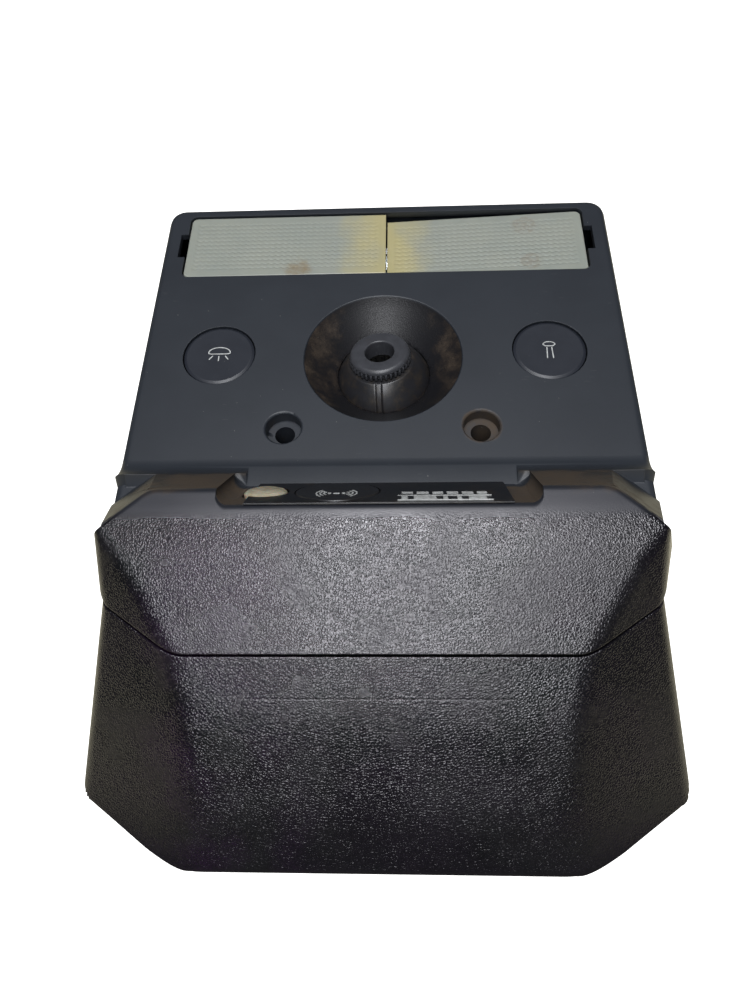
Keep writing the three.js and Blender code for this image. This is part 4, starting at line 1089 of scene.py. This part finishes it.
def buildStrip():
    radius = strip["sensorRadius"]
    profile = rounded([(0, 0.92), (radius - 1.2, 1.0), (radius, 0.95, 0.45), (radius, -3.0, 0.2), (10.9, -3.4, 0.1),
                       (9.6, -3.4, 0.1), (9.6, -1.6, 0.2), (1.8, -1.6, 0.2), (1.8, -6, 0.2), (0, -6)], 5)
    sensorPlace = pocketPlace @ move(strip["sensorX"], 0, 0)
    meshPiece("sensorButton", *turned(profile, 128), "sensor_button", "gloss_black", "sensor", ("sensor_button",),
              place=sensorPlace, sharp=40)
    drop = strip["symbolDrop"]
    marks = [stroke([(-0.8, drop), (0.8, drop)], 0.9, 0.7, 1.05)]
    for side in (1, -1):
        marks.append(stroke(arc(side * 1.9, drop, 0.3, 0.7, 0, 360, 12)[:-1], 0.4, 0.7, 1.05, True))
        for ring in (1.0, 2.0, 3.0):
            middle = 90 - 90 * side
            wave = arc(side * 1.7, drop, ring + 0.7, ring * 1.5 + 0.4, middle - 52, middle + 52, 12)
            marks.append(stroke(wave, 0.4, 0.7, 1.05))
    meshPiece("sensorSymbol", *joined(*marks), "sensor_button", "cream_plastic", "print", place=sensorPlace)
    dome = rounded([(0, 2.0), (3.4, 1.8, 3), (5.2, 1.3, 1.2), (5.9, 0.6, 0.6), (5.9, -1.2, 0.3), (4.6, -2.6, 0.3),
                    (0, -2.6)], 6)
    meshPiece("statusWindow", *turned(dome, 96), "housing", "cream_plastic", "cream", ("status_window",),
              place=pocketPlace @ move(strip["statusX"], 0, 0), sharp=50)
    low, high = strip["top"] - 0.2, strip["top"] + 0.04
    rules = [stroke([(5.0, y), (29.5, y)], 0.55, low, high) for y in (-5.8, -11.3)]
    for y, tall, bars in ((-8.5, 3.0, ((6, 7.6), (9.2, 15), (16.8, 18), (20.4, 21.6), (23.4, 28))),
                          (-2.6, 2.2, ((6, 9), (10, 13.2), (14.2, 17), (18, 21), (22, 25), (26, 28.6)))):
        rules += [stroke([(start, y), (end, y)], tall, low, high) for start, end in bars]
    meshPiece("labelPrint", *joined(*rules), "housing", "cream_plastic", "print", place=pocketPlace)
    softened("status_led", "statusLed", "white", edge=0.0)


buildStrip()
print("alarm strip done")


screw = {"recess": 0.75, "slotHalf": 0.42, "slotReach": 1.65}


def crossHeadScrew(node, name):  # pan head with a cross recess, drawn head up at z = 0 and placed by the frame
    low, high = (Vector(c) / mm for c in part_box(node))
    headUp = name.startswith("alarmBoard")
    radius = (high.x - low.x) / 2
    shank = 1.0 if headUp else 1.4
    length = high.z - low.z
    angles = np.linspace(0, 2 * math.pi, 72, endpoint=False)
    reaches = np.concatenate([np.linspace(0.0, 0.72, 22) * radius, radius * np.array([0.8, 0.88, 0.95, 0.99, 1.0])])
    rings = []
    for reach in reaches:
        x, y = reach * np.cos(angles), reach * np.sin(angles)
        scale = radius / 3
        half, arm = screw["slotHalf"] * scale, screw["slotReach"] * scale
        inside = ((np.abs(x) < half) & (np.abs(y) < arm)) | ((np.abs(y) < half) & (np.abs(x) < arm))
        crownDrop = 0.75 * (reach / radius) ** 4
        rings.append(np.column_stack([x, y, -crownDrop - screw["recess"] * scale * inside]))
    tail = [(radius, -1.6), (shank, -1.6), (shank, 1.2 - length), (shank * 0.5, -length), (0, -length)]
    for reach, z in tail:
        rings.append(np.column_stack([reach * np.cos(angles), reach * np.sin(angles), np.full(len(angles), z)]))
    seat = high.z if headUp else low.z
    place = move((low.x + high.x) / 2, (low.y + high.y) / 2, seat) @ turn("X", 0 if headUp else 180)
    meshPiece(name, np.concatenate(rings), gridFaces(len(rings), len(angles), False, True), "housing", "steel", "steel",
              (node,), place=place, sharp=40)


for i in range(1, 9):
    crossHeadScrew(f"back_plate_screw_{i}", f"backPlateScrew_{i}")
for i in range(1, 5):
    crossHeadScrew(f"alarm_board_screw_{i}", f"alarmBoardScrew_{i}")

softened("back_plate", "backPlate", "black", edge=0.25)
softened("harness_socket", "harnessSocket", "white", edge=0.2)
softened("alarm_relay", "alarmRelay", "white", edge=0.4)


def reachRidge(shape):  # the label reaches up to the nose cover's edge
    for vert in shape.verts:
        local = pocketPlace.inverted() @ vert.co
        if local.y < -11:
            vert.co = pocketPlace @ Vector((local.x, local.y - 0.9, local.z - 0.3))


softened("label_strip", "labelStrip", "label", edge=0.06, change=reachRidge)
for node, name in (("control_chip", "controlChip"), ("timer_chip", "timerChip"), ("driver_chip", "driverChip")):
    softened(node, name, "black", edge=0.15)
for i in range(1, 4):
    softened(f"capacitor_{i}", f"capacitor{i}", "black", edge=0.3)
print("back done")

cadFinish = {
    "bulb_clip_left": "brass", "bulb_clip_right": "brass", "harness_socket_pins": "brass",
    "sensor_switch": "black", "sensor_board": "board", "alarm_board": "board",
}
for node, part in frame["nodes"].items():
    if not part.hide_render:
        part.data.materials.clear()
        part.data.materials.append(finishes[cadFinish[node]])


stage = {
    "floor": paint(240, 239, 236), "floorPatch": paint(224, 222, 218), "bounce": paint(214, 206, 176),
    "front": paint(60, 58, 54), "glow": 0.75, "broad": 6.0, "core": 9.5, "band": 2.6, "room": 0.075,
    "aim": (0.0, -0.06, 0.04), "tone": (0.95, 0.965, 1.0),
}


def buildStage():
    material, tree, shader, position = newFinish("paleFloor", Roughness=0.85)
    soft = mottled(tree, position, stage["floor"], stage["floorPatch"], 160.0, 0.6)
    seen = addNode(tree, "LightPath").outputs["Is Camera Ray"]
    axes = addNode(tree, "SeparateXYZ", {0: position}).outputs
    beside = fade(tree, absolute(tree, axes["X"]), 60.0, 110.0)
    bounce = tint(tree, beside, stage["front"], stage["bounce"])
    tree.links.new(tint(tree, seen, bounce, soft), shader.inputs["Base Color"])  # darker in reflections
    tree.links.new(tint(tree, seen, (0, 0, 0, 1), soft), shader.inputs["Emission Color"])
    shader.inputs["Emission Strength"].default_value = stage["glow"]
    size, steps = 3.0, 24
    line = np.linspace(-size, size, steps + 1)
    x, y = np.meshgrid(line, line)
    mesh = bpy.data.meshes.new("floor")
    points = np.stack([x, y, np.full_like(x, -0.0002)], -1).reshape(-1, 3)
    mesh.from_pydata(points.tolist(), [], gridFaces(steps + 1, steps + 1))
    mesh.materials.append(material)
    floor = bpy.data.objects.new("floor", mesh)
    scene.collection.objects.link(floor)


def addLight(name, place, size):
    light = bpy.data.lights.new(name, "AREA")
    light.shape, light.size, light.size_y = "RECTANGLE", size[0], size[1]
    light.energy, light.color = stage[name], stage["tone"]
    holder = bpy.data.objects.new(name, light)
    holder.location = place
    holder.rotation_euler = (Vector(stage["aim"]) - Vector(place)).to_track_quat("-Z", "Y").to_euler()
    scene.collection.objects.link(holder)


def buildLight():
    addLight("broad", (-0.03, -0.34, 1.0), (0.56, 1.2))
    addLight("core", (-0.02, -0.33, 0.98), (0.26, 1.15))
    addLight("band", (-0.02, 0.13, 1.0), (0.36, 0.12))
    world = bpy.data.worlds.new("room")
    world.use_nodes = True
    world.node_tree.nodes["Background"].inputs[0].default_value = paint(226, 228, 232)
    world.node_tree.nodes["Background"].inputs[1].default_value = stage["room"]
    scene.world = world
    scene.view_settings.view_transform = "Standard"


def buildCamera():
    camera = bpy.data.cameras.new("camera")
    camera.sensor_fit, camera.sensor_height, camera.lens = "VERTICAL", 24, 18.36
    camera.clip_start = 0.01
    holder = bpy.data.objects.new("camera", camera)
    right = Vector((0.99901866, 0.01413752, -0.04197443))
    up = Vector((0.00781547, 0.87655044, 0.48124655))
    back = right.cross(up)
    spin = Matrix((right, up, back)).transposed().to_4x4()
    holder.matrix_world = Matrix.Translation(Vector((7.772, -118.583, 218.794)) * mm) @ spin
    scene.collection.objects.link(holder)
    scene.camera = holder


buildStage()
buildLight()
buildCamera()
